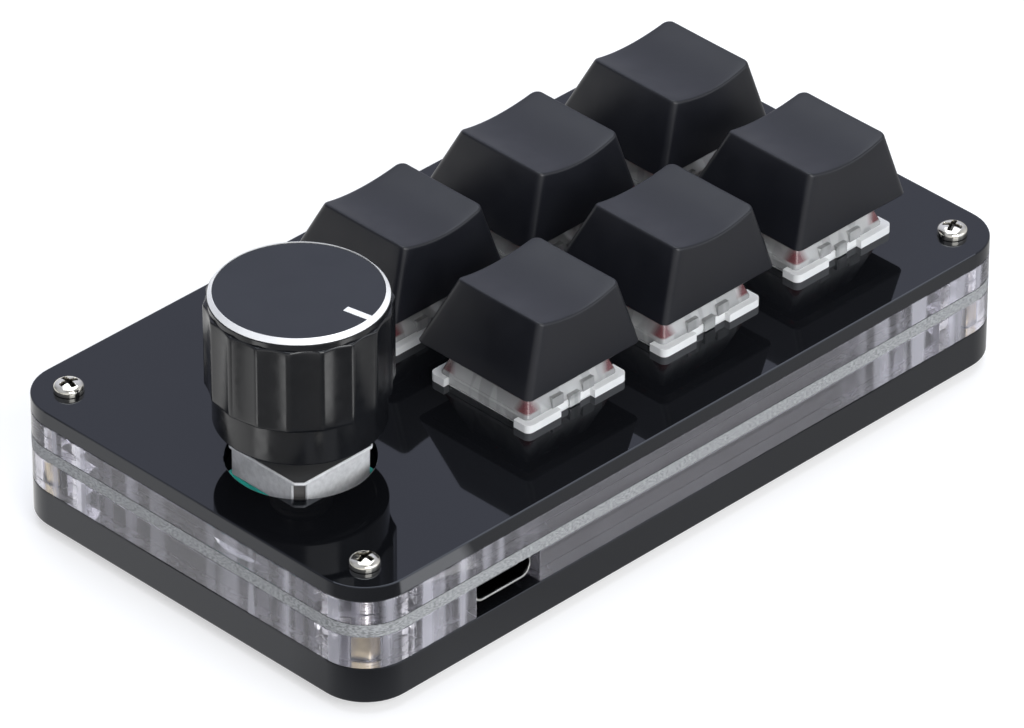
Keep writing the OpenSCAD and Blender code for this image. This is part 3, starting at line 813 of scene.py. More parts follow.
class Pattern(Tree):
    """A Geometry Nodes tree with named inputs, which repeats or reshapes a piece's mesh."""

    def __init__(self, name: str, sizes: Mapping[str, float | int]) -> None:
        """Make the tree's sockets.

        Args:
            name: Name of the tree.
            sizes: The named inputs with their values, in metres or as counts.
        """
        super().__init__(bpy.data.node_groups.new(name, "GeometryNodeTree"))
        self.sizes = dict(sizes)
        sockets = self.tree.interface
        for way in ("OUTPUT", "INPUT"):
            sockets.new_socket(name="Geometry", in_out=way, socket_type="NodeSocketGeometry")
        kinds = {label: "Int" if isinstance(value, int) else "Float" for label, value in sizes.items()}
        self.keys: dict[str, str] = {}
        for label, kind in (kinds | {"Finish": "Material"}).items():
            socket = sockets.new_socket(name=label, in_out="INPUT", socket_type=f"NodeSocket{kind}")
            self.keys[label] = socket.identifier
        self.given = self.add("NodeGroupInput").outputs

    def at_points(self, points: Socket, inputs: Inputs | None = None) -> Pattern:
        """End the tree in copies of its mesh at points, and return the pattern."""
        inputs = {"Points": points, "Instance": self.given["Geometry"]} | dict(inputs or {})
        return self.close(self.add("GeometryNodeInstanceOnPoints", inputs).outputs[0])

    def close(self, geometry: Socket) -> Pattern:
        """End the tree in Realize Instances and Set Material.

        Args:
            geometry: The geometry to hand out.

        Returns:
            The pattern.
        """
        real = self.add("GeometryNodeRealizeInstances", {0: geometry}).outputs[0]
        dressed = self.add("GeometryNodeSetMaterial", {"Geometry": real, "Material": self.given["Finish"]})
        self.add("NodeGroupOutput", {0: dressed.outputs[0]})
        return self

    def apply(self, piece: Piece, finish: bpy.types.Material) -> Piece:
        """Run the tree on a piece and keep its result as a plain mesh.

        Args:
            piece: The piece whose mesh goes in.
            finish: The material that the result gets.

        Returns:
            The same piece.
        """
        modifier = piece.modifiers.new(self.tree.name, "NODES")
        modifier.node_group = self.tree
        for label, value in (self.sizes | {"Finish": finish}).items():
            modifier[self.keys[label]] = value
        return baked(piece)


def corner_pattern(span_x: float, span_y: float, turn: float, seed: int) -> Pattern:
    """Return a tree that sets a copy of its mesh at each corner of a rectangle.

    Args:
        span_x: Length of the rectangle in metres.
        span_y: Width of the rectangle in metres.
        turn: Largest turn of a copy either way, in radians.
        seed: Seed of the turns.

    Returns:
        The pattern.
    """
    pattern = Pattern("corner pattern", {"Span X": span_x, "Span Y": span_y, "Turn": turn, "Seed": seed})
    given = pattern.given
    grid = pattern.add("GeometryNodeMeshGrid", {0: given["Span X"], 1: given["Span Y"], 2: 2, 3: 2}).outputs[0]
    back = pattern.product(given["Turn"], -1.0)
    spin = pattern.add("FunctionNodeRandomValue", {2: back, 3: given["Turn"], "Seed": given["Seed"]})
    turn_z = pattern.add("ShaderNodeCombineXYZ", {2: spin.outputs[1]}).outputs[0]
    return pattern.at_points(grid, {"Rotation": turn_z})


def row_pattern(count: int, pitch: float, rows: int, gap: float) -> Pattern:
    """Return a tree that repeats its mesh in rows along Y and columns along X.

    Args:
        count: Copies along X.
        pitch: Distance between them in metres.
        rows: Copies along Y.
        gap: Distance between the rows in metres.

    Returns:
        The pattern.
    """
    pattern = Pattern("row pattern", {"Count": count, "Pitch": pitch, "Rows": rows, "Gap": gap})
    given = pattern.given
    spans = [
        pattern.product(pattern.math("SUBTRACT", given[number], 1.0), given[step])
        for number, step in (("Count", "Pitch"), ("Rows", "Gap"))
    ]
    inputs = {0: spans[0], 1: spans[1], 2: given["Count"], 3: given["Rows"]}
    return pattern.at_points(pattern.add("GeometryNodeMeshGrid", inputs).outputs[0])


def flute_pattern(count: int, depth: float, land: float) -> Pattern:
    """Return a tree that presses hollow flutes into a turned piece where its attribute "flute" is 1.

    Args:
        count: Number of flutes.
        depth: Depth of a flute in its middle, in metres.
        land: Share of the round that the ridges between the flutes keep.

    Returns:
        The pattern.
    """
    pattern = Pattern("flutes", {"Flutes": count, "Depth": depth, "Land": land})
    given = pattern.given
    parts = pattern.parts(pattern.add("GeometryNodeInputPosition").outputs[0])
    angle = pattern.math("ARCTAN2", parts[1], parts[0])
    share = pattern.product(pattern.math("DIVIDE", angle, math.tau), given["Flutes"])
    from_ridge = pattern.math("FRACT", pattern.math("ADD", share, float(count)))
    half = pattern.product(pattern.math("SUBTRACT", 1.0, given["Land"]), 0.5)
    across = pattern.math("DIVIDE", pattern.math("SUBTRACT", from_ridge, 0.5), half)
    hollow = pattern.math("MAXIMUM", pattern.math("SUBTRACT", 1.0, pattern.product(across, across)), 0.0)
    mask = pattern.add("GeometryNodeInputNamedAttribute", {"Name": "flute"}, data_type="FLOAT").outputs[0]
    inward = pattern.product(hollow, mask, given["Depth"], -1.0)
    flat = pattern.add("ShaderNodeCombineXYZ", {0: parts[0], 1: parts[1]}).outputs[0]
    offset = pattern.vector("SCALE", {0: pattern.vector("NORMALIZE", {0: flat}), "Scale": inward})
    inputs = {"Geometry": given["Geometry"], "Offset": offset}
    return pattern.close(pattern.add("GeometryNodeSetPosition", inputs).outputs[0])


# ---- the pieces ----


@dataclass
class Assembly:
    """A sub-assembly that makes its pieces and hides the CAD nodes that they take the place of.

    Attributes:
        finishes: The materials.
    """

    finishes: Finishes

    def place(self, piece: Piece, look: Look, body: str, *nodes: str) -> Piece:
        """Finish a piece, let it ride on its body and replace its nodes.

        Args:
            piece: The piece.
            look: Its finish.
            body: The CAD body that carries it.
            nodes: The CAD nodes that it stands for.

        Returns:
            The same piece.
        """
        self.finishes.dress(piece, look)
        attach(piece, body)
        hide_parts(*nodes)
        LOG.info("%s: %d faces, on %s", piece.name, len(piece.data.polygons), body)
        return piece

    def soften(self, node: str, look: Look, edge: float, body: str = ROOT) -> Piece:
        """Replace a CAD node with a copy whose edges are rounded by a width in mm, and return that copy."""
        return self.place(softened(node, edge), look, body, node)


@dataclass
class LayerStack(Assembly):
    """The acrylic layers, the circuit board between them and the rubber feet.

    Attributes:
        plate_edge: Rounding of the black plates' edges in mm.
        frame_edge: Rounding of the clear frames' edges in mm.
        frame_gap: Air between a clear frame and the layers on it and under it, in mm.
        foot_edge: Rounding of the feet in mm.
        foot_r: Radius of a foot in mm.
    """

    plate_edge: float = 0.14
    frame_edge: float = 0.1
    frame_gap: float = 0.02
    foot_edge: float = 0.4
    foot_r: float = 4.0

    def build(self) -> None:
        """Make the layers."""
        for node in ("top_plate", "base_plate"):
            self.soften(node, Look.BLACK_ACRYLIC, self.plate_edge)
        for node in ("upper_frame", "lower_frame"):
            self.loosen(self.soften(node, Look.CLEAR_ACRYLIC, self.frame_edge))
        self.soften("circuit_board", Look.BOARD, self.frame_edge / 2)
        self.feet()

    def loosen(self, piece: Piece) -> None:
        """Leave air over and under a clear frame, so that light is reflected inside it.

        Args:
            piece: The frame.
        """
        heights = [vertex.co.z for vertex in piece.data.vertices]
        low, high = min(heights), max(heights)
        share = 1 - 2 * self.frame_gap * MM / (high - low)
        centre = Matrix.Translation((0, 0, (low + high) / 2))
        piece.data.transform(centre @ Matrix.Scale(share, 4, (0, 0, 1)) @ centre.inverted())

    def feet(self) -> None:
        """Make the four rubber feet as a corner pattern of one turned foot."""
        low, high = box_mm("rubber_feet")
        height = high.z - low.z
        edge = min(self.foot_edge, height / 3)
        flat_r = self.foot_r - edge
        arc = [math.radians(15 * k) for k in range(7)]
        profile = [(flat_r + edge * math.sin(a), edge - edge * math.cos(a)) for a in arc]
        profile += [(self.foot_r, height)]
        piece = skinned("rubber_feet", turned_rows(profile, even_angles(48)))
        spans = metres(high.x - low.x - 2 * self.foot_r, high.y - low.y - 2 * self.foot_r)
        corner_pattern(*spans, 0.0, 1).apply(piece, self.finishes.made[Look.RUBBER])
        self.place(piece, Look.RUBBER, ROOT, "rubber_feet")


@dataclass
class Fasteners(Assembly):
    """The eight screws and the four spacers between them.

    Attributes:
        head_r: Radius of a head in mm.
        head_h: Height of a head in mm.
        head_edge: Rounding of a head's lower edge in mm.
        shank_r: Radius of the thread in mm.
        core_share: Share of that radius at the thread's roots.
        tip: Width and height of the slope at the thread's end in mm.
        inset: Distance of a screw from the sides of the layers in mm.
        recess_w: Width of the cross recess in mm.
        recess_l: Length of the cross recess in mm.
        recess_h: Depth of the cross recess in its middle in mm.
        recess_edge: Rounding of the recess's edges in mm.
        crown_share: Share of a head's height that is its domed top.
        crown_rows: Rows of points from the crown's edge to its middle.
        thread_pitch: Pitch of the thread in mm.
        thread_low: Height of the lowest turn above the screw's end in mm.
        thread_shares: Places of a turn's crest and of the root after it, as shares of the pitch.
        spacer_edge: Rounding of a spacer in mm.
        turn: Largest turn of a screw either way, in radians.
    """

    head_r: float = 1.75
    head_h: float = 1.3
    head_edge: float = 0.08
    shank_r: float = 0.95
    core_share: float = 0.84
    tip: float = 0.25
    inset: float = 4.8
    recess_w: float = 0.6
    recess_l: float = 2.3
    recess_h: float = 0.8
    recess_edge: float = 0.07
    crown_share: float = 0.62
    crown_rows: int = 44
    thread_pitch: float = 0.4
    thread_low: float = 0.3
    thread_shares: Flat = (0.4, 0.8)
    spacer_edge: float = 0.12
    turn: float = 0.7

    def recess(self, x: float, y: float) -> float:
        """Return how deep the cross recess is at a point of the head, as a share of its depth.

        Args:
            x: Place along X in mm.
            y: Place along Y in mm.

        Returns:
            The share, from 0 to 1.
        """
        reach, half = math.hypot(x, y), self.recess_l / 2
        across = min(abs(x), abs(y))
        in_arm = min(1.0, max(0.0, (self.recess_w / 2 - across) / self.recess_edge))
        in_reach = min(1.0, max(0.0, (half - reach) / self.recess_edge))
        return in_arm * in_reach * (1 - 0.5 * reach / half)

    def screw(self, node: str, thread_l: float, up: float) -> Piece:
        """Make one screw with its seat at z = 0.

        Args:
            node: Name of the node.
            thread_l: Length below the head in mm.
            up: 1 for a head that looks up, -1 for one that looks down.

        Returns:
            The piece.
        """
        angles = even_angles(96)
        core, pitch = self.shank_r * self.core_share, self.thread_pitch
        profile = [(core - self.tip, -thread_l), (core, self.tip - thread_l)]
        for n in range(int(thread_l / pitch) - 1):
            z = self.thread_low - thread_l + pitch * n
            crest, root = (z + pitch * share for share in self.thread_shares)
            profile += [(core, z), (self.shank_r, crest), (core, root)]
        crown = self.head_h * self.crown_share
        wall = self.head_h - crown
        profile += [(core, 0.0), (self.head_r - self.head_edge, 0.0)]
        profile += [(self.head_r, self.head_edge), (self.head_r, wall)]
        rows = turned_rows(profile, angles)
        for k in range(1, self.crown_rows):
            share = 1 - k / self.crown_rows
            z = wall + crown * math.sqrt(1 - share * share)
            ring = turned_rows([(self.head_r * share, z)], angles)[0]
            rows.append([(x, y, z - self.recess_h * self.recess(x, y)) for x, y, z in ring])
        piece = skinned(node, [[(x, y, z * up) for x, y, z in row] for row in rows], 40.0)
        # Painted shade: the attribute recess marks the cross recess, which the screw finish paints darker.
        mask = piece.data.attributes.new("recess", "FLOAT", "POINT")
        for vertex, cell in zip(piece.data.vertices, mask.data):
            x, y, z = vertex.co / MM
            cell.value = min(1.0, 2 * self.recess(x, y)) if z * up > wall / 2 else 0.0
        return piece

    def build(self) -> None:
        """Make the screws and the spacers."""
        high = box_mm("top_plate")[1]
        spans = [2 * (side - self.inset) * MM for side in (high.x, high.y)]
        top_low, bottom = box_mm("top_screws")[0], box_mm("bottom_screws")
        bottom_seat = bottom[0].z + self.head_h
        sets = (
            ("top_screws", high.z, high.z - top_low.z, 1.0, 11),
            ("bottom_screws", bottom_seat, bottom[1].z - bottom_seat, -1.0, 12),
        )
        for node, seat, thread_l, up, seed in sets:
            piece = self.screw(node, thread_l, up)
            corner_pattern(*spans, self.turn, seed).apply(piece, self.finishes.made[Look.SCREW])
            piece.data.transform(Matrix.Translation((0, 0, seat * MM)))
            self.place(piece, Look.SCREW, ROOT, node)
        self.soften("spacers", Look.BRASS, self.spacer_edge)


@dataclass
class KeyCap(Assembly):
    """One key cap: leaning, drafted walls, a hollow top and a post with a cross hole.

    Attributes:
        number: Number of the key.
        top_w: Width of the top in mm.
        top_d: Depth of the top in mm.
        lean: How far the top leans towards -Y in mm.
        corner: Radius of the upright corners in mm.
        dish: Depth of the hollow in mm.
        wall: Thickness of the walls and of the roof in mm.
        fillet: Rounding of the top's edge in mm.
        foot_edge: Slope of the lower edge, inwards and upwards, in mm.
        flare: Factor by which the inside widens at the lower edge.
        top_shares: Places of the rows across the top, as shares of the way from its middle to its edge.
        post_r: Radius of the post in mm.
        post_low: Height of the post's lower end above the cap's in mm.
        post_root: How far the post reaches into the roof in mm.
        cross_w: Length of the cross hole in mm.
        cross_t: Width of the cross hole's arms in mm.
    """

    number: int
    top_w: float = 12.3
    top_d: float = 13.1
    lean: float = 1.5
    corner: float = 0.9
    dish: float = 1.05
    wall: float = 1.3
    fillet: float = 0.4
    foot_edge: Flat = (0.12, 0.15)
    flare: float = 1.012
    top_shares: tuple[float, ...] = (0.88, 0.72, 0.54, 0.36, 0.18, 0.05)
    post_r: float = 2.75
    post_low: float = 1.7
    post_root: float = 0.3
    cross_w: float = 4.1
    cross_t: float = 1.3

    def ring(self, width: float, depth: float, radius: float, shift: float) -> list[Flat]:
        """Return a rounded rectangle's points, with each side cut into short steps.

        Args:
            width: Size along X in mm.
            depth: Size along Y in mm.
            radius: Radius of the corners in mm.
            shift: Place of the middle along Y in mm.

        Returns:
            The points, anticlockwise.
        """
        half_w, half_d = width / 2 - radius, depth / 2 - radius
        corners = ((half_w, half_d, 0), (-half_w, half_d, 90), (-half_w, -half_d, 180), (half_w, -half_d, 270))
        points: list[Flat] = []
        steps = 14

        def on_arc(corner: int, turn: float) -> Flat:
            """Return a point of a corner's arc.

            Args:
                corner: Number of the corner.
                turn: Angle from the arc's start in degrees.

            Returns:
                The point.
            """
            x, y, start = corners[corner % 4]
            a = math.radians(start + turn)
            return (x + radius * math.cos(a), y + radius * math.sin(a) + shift)

        for n in range(4):
            points += [on_arc(n, 15 * k) for k in range(7)]
            first, last = points[-1], on_arc(n + 1, 0)
            points += [
                (first[0] + (last[0] - first[0]) * k / steps, first[1] + (last[1] - first[1]) * k / steps)
                for k in range(1, steps)
            ]
        return points

    def hollow(self, x: float, height: float) -> float:
        """Return the height of the hollow top at a place across a cap of a given height, all in mm."""
        radius = ((self.top_w / 2) ** 2 + self.dish**2) / (2 * self.dish)
        return height - self.dish + radius - math.sqrt(max(0.0, radius * radius - x * x))

    def outer_rows(self, side: float, height: float) -> Rows:
        """Return the rows of the outer skin, from the lower edge to the middle of the top.

        Args:
            side: Side of the cap at its lower edge in mm.
            height: Height of the cap in mm.

        Returns:
            The rows.
        """
        base = self.ring(side, side, self.corner, 0.0)
        top = self.ring(self.top_w, self.top_d, self.corner, -self.lean)
        columns: list[list[Point]] = []
        for (x0, y0), (x1, y1) in zip(base, top):
            share = 1.0
            for _ in range(8):
                share = self.hollow(x0 + (x1 - x0) * share, height) / height
            edge = Vector((x0 + (x1 - x0) * share, y0 + (y1 - y0) * share, height * share))
            foot = Vector((x0, y0, 0.0))
            along = (edge - foot).normalized()
            inward = Vector((-edge.x, -self.lean - edge.y, 0.0)).normalized()
            start, end = edge - along * self.fillet, edge + inward * self.fillet
            end.z = self.hollow(end.x, height)
            column = [foot + inward * self.foot_edge[0], foot + along * self.foot_edge[1]]
            column += [foot.lerp(start, k / 4) for k in range(1, 5)]
            column += [start.lerp(edge, k / 5).lerp(edge.lerp(end, k / 5), k / 5) for k in range(1, 6)]
            for part in self.top_shares:
                x = end.x * part
                column.append((x, -self.lean + (end.y + self.lean) * part, self.hollow(x, height)))
            columns.append([tuple(point) for point in column])
        return [list(row) for row in zip(*columns)]

    def build(self) -> None:
        """Make the cap."""
        node = f"keycap_{self.number}"
        low, high = box_mm(node)
        side, height = high.x - low.x, high.z - low.z
        roof = height - self.dish - self.wall
        share, inside = roof / height, side - 2 * self.wall
        inner_low = self.ring(inside, inside, self.corner / 2, 0.0)
        sizes = [inside + (top - side) * share for top in (self.top_w, self.top_d)]
        inner_high = self.ring(*sizes, self.corner / 2, -self.lean * share)
        rows = [[(x, y, roof) for x, y in inner_high], [(x, y, self.foot_edge[1]) for x, y in inner_low]]
        rows.append([(x * self.flare, y * self.flare, 0.0) for x, y in inner_low])
        piece = skinned(node, rows + self.outer_rows(side, height), 35.0, inset=self.post(roof))
        stand(piece, node)
        self.place(piece, Look.CAP, f"key_{self.number}", node)

    def post(self, roof: float) -> Rows:
        """Return the rows of the post with its cross hole.

        Args:
            roof: Height of the inside of the roof in mm.

        Returns:
            The rows, to be joined in a loop.
        """
        long, short = self.cross_w / 2, self.cross_t / 2
        corners = [math.atan2(short, long), math.pi / 4, math.atan2(long, short)]
        angles = sorted({*even_angles(48), *(c + k * math.pi / 2 for c in corners for k in range(4))})

        def reach(a: float) -> float:
            """Return how far the cross reaches at an angle."""
            c, s = (max(abs(part), 1e-9) for part in (math.cos(a), math.sin(a)))
            return max(min(long / c, short / s), min(short / c, long / s))

        ends = (self.post_low, roof + self.post_root)
        rows = turned_rows([(self.post_r, z) for z in ends], angles)
        hole = [(reach(a), a) for a in angles]
        return rows + [[(r * math.cos(a), r * math.sin(a), z) for r, a in hole] for z in reversed(ends)]


@dataclass
class KeySwitch(Assembly):
    """One key switch: milky body, clear cover, sliding stem and return spring.

    Attributes:
        number: Number of the key.
        edge: Rounding of the moulded edges in mm.
        cover_edge: Rounding of the cover's edges in mm.
        turns: Number of the spring's turns.
        coil_r: Radius of the spring's middle line in mm.
        wire_r: Radius of its wire in mm.
        keep: Share of the spring's height that is left when the key is down; not used.
    """

    number: int
    edge: float = 0.12
    cover_edge: float = 0.04
    turns: int = 6
    coil_r: float = 1.9
    wire_r: float = 0.2
    keep: float = 0.558

    def build(self) -> None:
        """Make the switch."""
        n = self.number
        self.soften(f"switch_base_{n}", Look.MILKY, self.edge)
        self.soften(f"switch_cover_{n}", Look.CLEAR, self.cover_edge)
        self.soften(f"switch_stem_{n}", Look.STEM, self.edge, f"key_{n}")
        self.spring()

    def spring(self) -> None:
        """Make the return spring as one wound wire."""
        node = f"key_spring_{self.number}"
        low, high = box_mm(node)
        centre = middle(node)
        steps, sides = 24, 8
        count = self.turns * steps
        rise = high.z - low.z - 2 * self.wire_r
        wire = [(self.wire_r * math.cos(b), self.wire_r * math.sin(b)) for b in even_angles(sides)]
        rows = []
        for k in range(count + 1):
            a = math.tau * k / steps
            z = low.z + self.wire_r + rise * k / count
            rows.append([((self.coil_r + u) * math.cos(a), (self.coil_r + u) * math.sin(a), z + v) for u, v in wire])
        piece = skinned(node, rows, 60.0)
        piece.data.transform(Matrix.Translation((round(centre.x, 5), round(centre.y, 5), 0.0)))
        self.place(piece, Look.SPRING, ROOT, node)
        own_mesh(piece)


@dataclass
class Encoder(Assembly):
    """The encoder under the knob: base, folded metal shell, bushing, rotor, pins and push dome.

    Attributes:
        edge: Rounding of its edges in mm.
        dome_edge: Rounding of the dome's edges in mm.
        dome_keep: Share of the dome's height that is left when the knob is down; not used.
    """

    edge: float = 0.08
    dome_edge: float = 0.02
    dome_keep: float = 0.14

    def build(self) -> None:
        """Make the encoder."""
        self.soften("encoder_base", Look.TEAL, self.edge)
        self.soften("encoder_shell", Look.TIN, 2 * self.edge)
        self.soften("encoder_bushing", Look.CAST, self.edge / 2)
        self.soften("encoder_rotor", Look.DARK, self.edge, "rotor")
        self.soften("encoder_pins", Look.CONTACT, self.edge / 2)
        dome = self.soften("push_dome", Look.CONTACT, self.dome_edge)
        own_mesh(dome)
        self.soften("knob_shaft", Look.NICKEL, self.edge, KNOB)


@dataclass
class Knob(Assembly):
    """The turned knob: smooth skirt, fluted grip, bright ring, turned face and pointer line.

    Attributes:
        flutes: Number of flutes.
        flute_depth: Depth of a flute in mm.
        land: Share of the round that the ridges keep.
        flute_steps: Number of facets across a flute.
        grip_r: Radius over the ridges in mm.
        skirt_r: Radius of the skirt in mm.
        shoulder_r: Radius of the smooth band above the flutes in mm.
        skirt_h: Height of the skirt in mm.
        skirt_slope: Insets and heights of the rows at the skirt's lower edge in mm.
        seam: Width and height of the slope between the skirt and the grip in mm.
        shoulder_h: Height of the smooth band and the face in mm.
        low_round: Rounding of the grip's lower edge in mm.
        high_round: Rounding of the grip's upper edge in mm.
        face_t: Thickness of the face in mm.
        ring_w: Width of the ring in mm.
        ring_drop: How far the ring reaches down over the shoulder, in mm.
        ring_rim: Height of the ring's upright outer edge in mm.
        ring_play: Gap under the ring in mm.
        ring_flat: Width of the ring's level upper edge in mm.
        seat_edge: Slope of the outer edge of the ring's seat in mm.
        disc_edge: Rounding of the face in mm.
        pointer_edge: Rounding of the pointer line in mm.
        wall: Thickness of the wall in mm.
        roof_t: Thickness of the roof with the face in mm.
        hub_r: Radius of the hub in mm.
        bore_r: Radius of the bore in mm.
        hub_low: Height of the hub's lower end above the knob's in mm.
        bore_top: Height of the bore's end above the knob's lower edge in mm.
        close_r: Radius of the flat faces that close both ends of the body's skin in mm.
        edge: Slope of the inner lower edge, and width of the step inside the ring's seat, in mm.
        crease: Angle past which the body's edges are sharp, in degrees.
    """

    flutes: int = 18
    flute_depth: float = 0.28
    land: float = 0.09
    flute_steps: int = 14
    grip_r: float = 10.5
    skirt_r: float = 9.7
    shoulder_r: float = 10.1
    skirt_h: float = 4.7
    skirt_slope: Sequence[Flat] = ((0.3, 0.0), (0.09, 0.06), (0.0, 0.25))
    seam: float = 0.02
    shoulder_h: float = 1.3
    low_round: float = 0.4
    high_round: float = 0.3
    face_t: float = 0.3
    ring_w: float = 0.5
    ring_drop: float = 0.28
    ring_rim: float = 0.06
    ring_play: float = 0.01
    ring_flat: float = 0.03
    seat_edge: float = 0.08
    disc_edge: float = 0.05
    pointer_edge: float = 0.04
    wall: float = 1.5
    roof_t: float = 3.0
    hub_r: float = 5.0
    bore_r: float = 3.05
    hub_low: float = 2.25
    bore_top: float = 11.85
    close_r: float = 1.0
    edge: float = 0.1
    crease: float = 25.0

    def angles(self) -> list[float]:
        """Return the angles round the knob, with one at each edge of each ridge.

        Returns:
            The angles in radians.
        """
        pitch = math.tau / self.flutes
        start = self.land / 2
        inside = [start + (1 - self.land) * k / self.flute_steps for k in range(self.flute_steps + 1)]
        return [(n + u) * pitch for n in range(self.flutes) for u in [0.0, *inside]]

    def grip_profile(self, height: float) -> list[Point]:
        """Return radius, height and flute share of each row of the outer skin.

        Args:
            height: Height of the body in mm.

        Returns:
            The rows from the lower edge to the ring's seat.
        """
        low, high = self.skirt_h, height + self.face_t - self.shoulder_h
        rows = [(self.skirt_r - inset, z, 0.0) for inset, z in self.skirt_slope]
        rows += [(self.skirt_r, low - self.seam, 0.0), (self.grip_r - self.low_round - self.seam, low, 0.0)]
        arc = [math.radians(18 * k) for k in range(6)]
        r, lift = self.grip_r - self.low_round, low + self.low_round
        rows += [(r + self.low_round * math.sin(a), lift - self.low_round * math.cos(a), math.sin(a)) for a in arc[1:]]
        rows += [(self.grip_r, low + (high - low) * k / 8, 1.0) for k in range(1, 8)]
        r, lift, size = self.grip_r - self.high_round, high - self.high_round, self.high_round
        rows += [(r + size * math.cos(a), lift + size * math.sin(a), math.cos(a) ** 0.5) for a in arc[:5]]
        seat = height - self.ring_drop - self.ring_play
        seat_r = self.shoulder_r - self.ring_w - self.ring_play - self.edge
        rows += [(self.shoulder_r, high, 0.0), (self.shoulder_r, seat - self.seat_edge, 0.0)]
        rows += [(self.shoulder_r - self.seat_edge, seat, 0.0), (seat_r, seat, 0.0)]
        return rows + [(seat_r, height, 0.0), (self.close_r, height, 0.0)]

    def build(self) -> None:
        """Make the knob."""
        self.body()
        self.ring()
        self.soften("knob_disc", Look.FACE, self.disc_edge, KNOB)
        self.soften("knob_pointer", Look.BRIGHT, self.pointer_edge, KNOB)

    def ring(self) -> None:
        """Make the bright ring, which slopes from the face down over the shoulder."""
        low, high = box_mm("knob_ring")
        outer, top, drop = (high.x - low.x) / 2, high.z - low.z, self.ring_drop
        inner = outer - self.ring_w
        profile = [(inner, -drop), (outer, -drop), (outer, self.ring_rim - drop)]
        profile += [(inner + self.ring_flat, top), (inner, top)]
        piece = skinned("knob_ring", turned_rows(profile, even_angles(192)), 20.0, loop=True)
        stand(piece, "knob_ring")
        self.place(piece, Look.BRIGHT, KNOB, "knob_ring")

    def body(self) -> None:
        """Make the fluted body, hollow from below round its hub."""
        low, high = box_mm("knob_body")
        height = high.z - low.z
        inner_r = self.skirt_r - self.wall
        roof = height + self.face_t - self.roof_t
        inside = [(self.close_r, self.bore_top), (self.bore_r, self.bore_top), (self.bore_r, self.hub_low)]
        inside += [(self.hub_r, self.hub_low), (self.hub_r, roof), (inner_r, roof), (inner_r, self.edge)]
        inside += [(inner_r + self.edge, 0.0)]
        profile = [(r, z, 0.0) for r, z in inside] + self.grip_profile(height)
        piece = skinned("knob_body", turned_rows([row[:2] for row in profile], self.angles()), self.crease)
        shares = {(round(r, 3), round(z, 3)): share for r, z, share in profile}
        mask = piece.data.attributes.new("flute", "FLOAT", "POINT")
        for vertex, cell in zip(piece.data.vertices, mask.data):
            x, y, z = vertex.co / MM
            cell.value = shares.get((round(math.hypot(x, y), 3), round(z, 3)), 0.0)
        pattern = flute_pattern(self.flutes, self.flute_depth * MM, self.land)
        pattern.apply(piece, self.finishes.made[Look.KNOB])
        smooth(piece.data, self.crease)
        stand(piece, "knob_body")
        self.place(piece, Look.KNOB, KNOB, "knob_body")


@dataclass
class PortAndBoard(Assembly):
    """The connector at the board's edge and the parts under the board.

    Attributes:
        edge: Rounding of the connector and of a small part in mm.
        chip_edge: Rounding of the chip in mm.
        contact_edge: Rounding of the switches' contacts in mm.
        part_count: Number of small parts in a row.
        part_pitch: Distance between them in mm.
        part_gap: Distance between the two rows in mm.
    """

    edge: float = 0.06
    chip_edge: float = 0.05
    contact_edge: float = 0.04
    part_count: int = 6
    part_pitch: float = 2.6
    part_gap: float = 11.0

    def build(self) -> None:
        """Make the connector and the board's parts."""
        self.soften("port_shell", Look.SLEEVE, self.edge)
        self.soften("port_tongue", Look.DARK, self.edge)
        self.soften("controller_chip", Look.DARK, self.chip_edge)
        self.board_parts()
        self.soften("switch_contacts", Look.CONTACT, self.contact_edge)

    def board_parts(self) -> None:
        """Make the small parts beside the chip as a row pattern of one part."""
        low, high = box_mm("board_parts")
        half_x = (high.x - low.x - (self.part_count - 1) * self.part_pitch) / 2
        half_y = (high.y - low.y - self.part_gap) / 2
        height, edge = high.z - low.z, self.edge
        rows = []
        for inset, z in ((edge, 0.0), (0.0, edge), (0.0, height - edge), (edge, height)):
            x, y = half_x - inset, half_y - inset
            rows.append([(-x, -y, z), (x, -y, z), (x, y, z), (-x, y, z)])
        piece = skinned("board_parts", rows)
        pattern = row_pattern(self.part_count, self.part_pitch * MM, 2, self.part_gap * MM)
        pattern.apply(piece, self.finishes.made[Look.CERAMIC])
        stand(piece, "board_parts")
        self.place(piece, Look.CERAMIC, ROOT, "board_parts")


# ---- studio ----


@dataclass(frozen=True)
class Glow:
    """A soft patch of light in the sky.

    Attributes:
        towards: Its direction from the object.
        reach: Angle from its middle to where it ends, in degrees.
        colour: Light that it adds in its middle, linear.
    """

    towards: Point
    reach: float
    colour: Colour

    def light(self, tree: Tree, direction: Socket) -> Socket:
        """Return the light that it adds in a direction.

        Args:
            tree: The world's tree.
            direction: The direction, as a unit vector.

        Returns:
            The colour output.
        """
        along = tree.vector("DOT_PRODUCT", {0: direction, 1: tuple(Vector(self.towards).normalized())}, 1)
        inputs = {0: along, 1: math.cos(math.radians(self.reach)), 2: 1.0, 3: 0.0, 4: 1.0}
        share = tree.add("ShaderNodeMapRange", inputs, interpolation_type="SMOOTHSTEP").outputs[0]
        return tree.vector("SCALE", {0: self.colour, "Scale": share})


SKY = (
    Glow((0.52, 0.66, 0.56), 58.0, (0.44, 0.46, 0.58)),
    Glow((0.3, -0.95, 0.15), 42.0, (1.1, 1.17, 1.26)),
    Glow((-0.7, -0.7, 0.12), 50.0, (0.5, 0.5, 0.52)),
    Glow((0.75, -0.65, 0.2), 55.0, (0.45, 0.45, 0.47)),
    Glow((-0.75, 0.3, 0.7), 45.0, (0.25, 0.26, 0.3)),
)


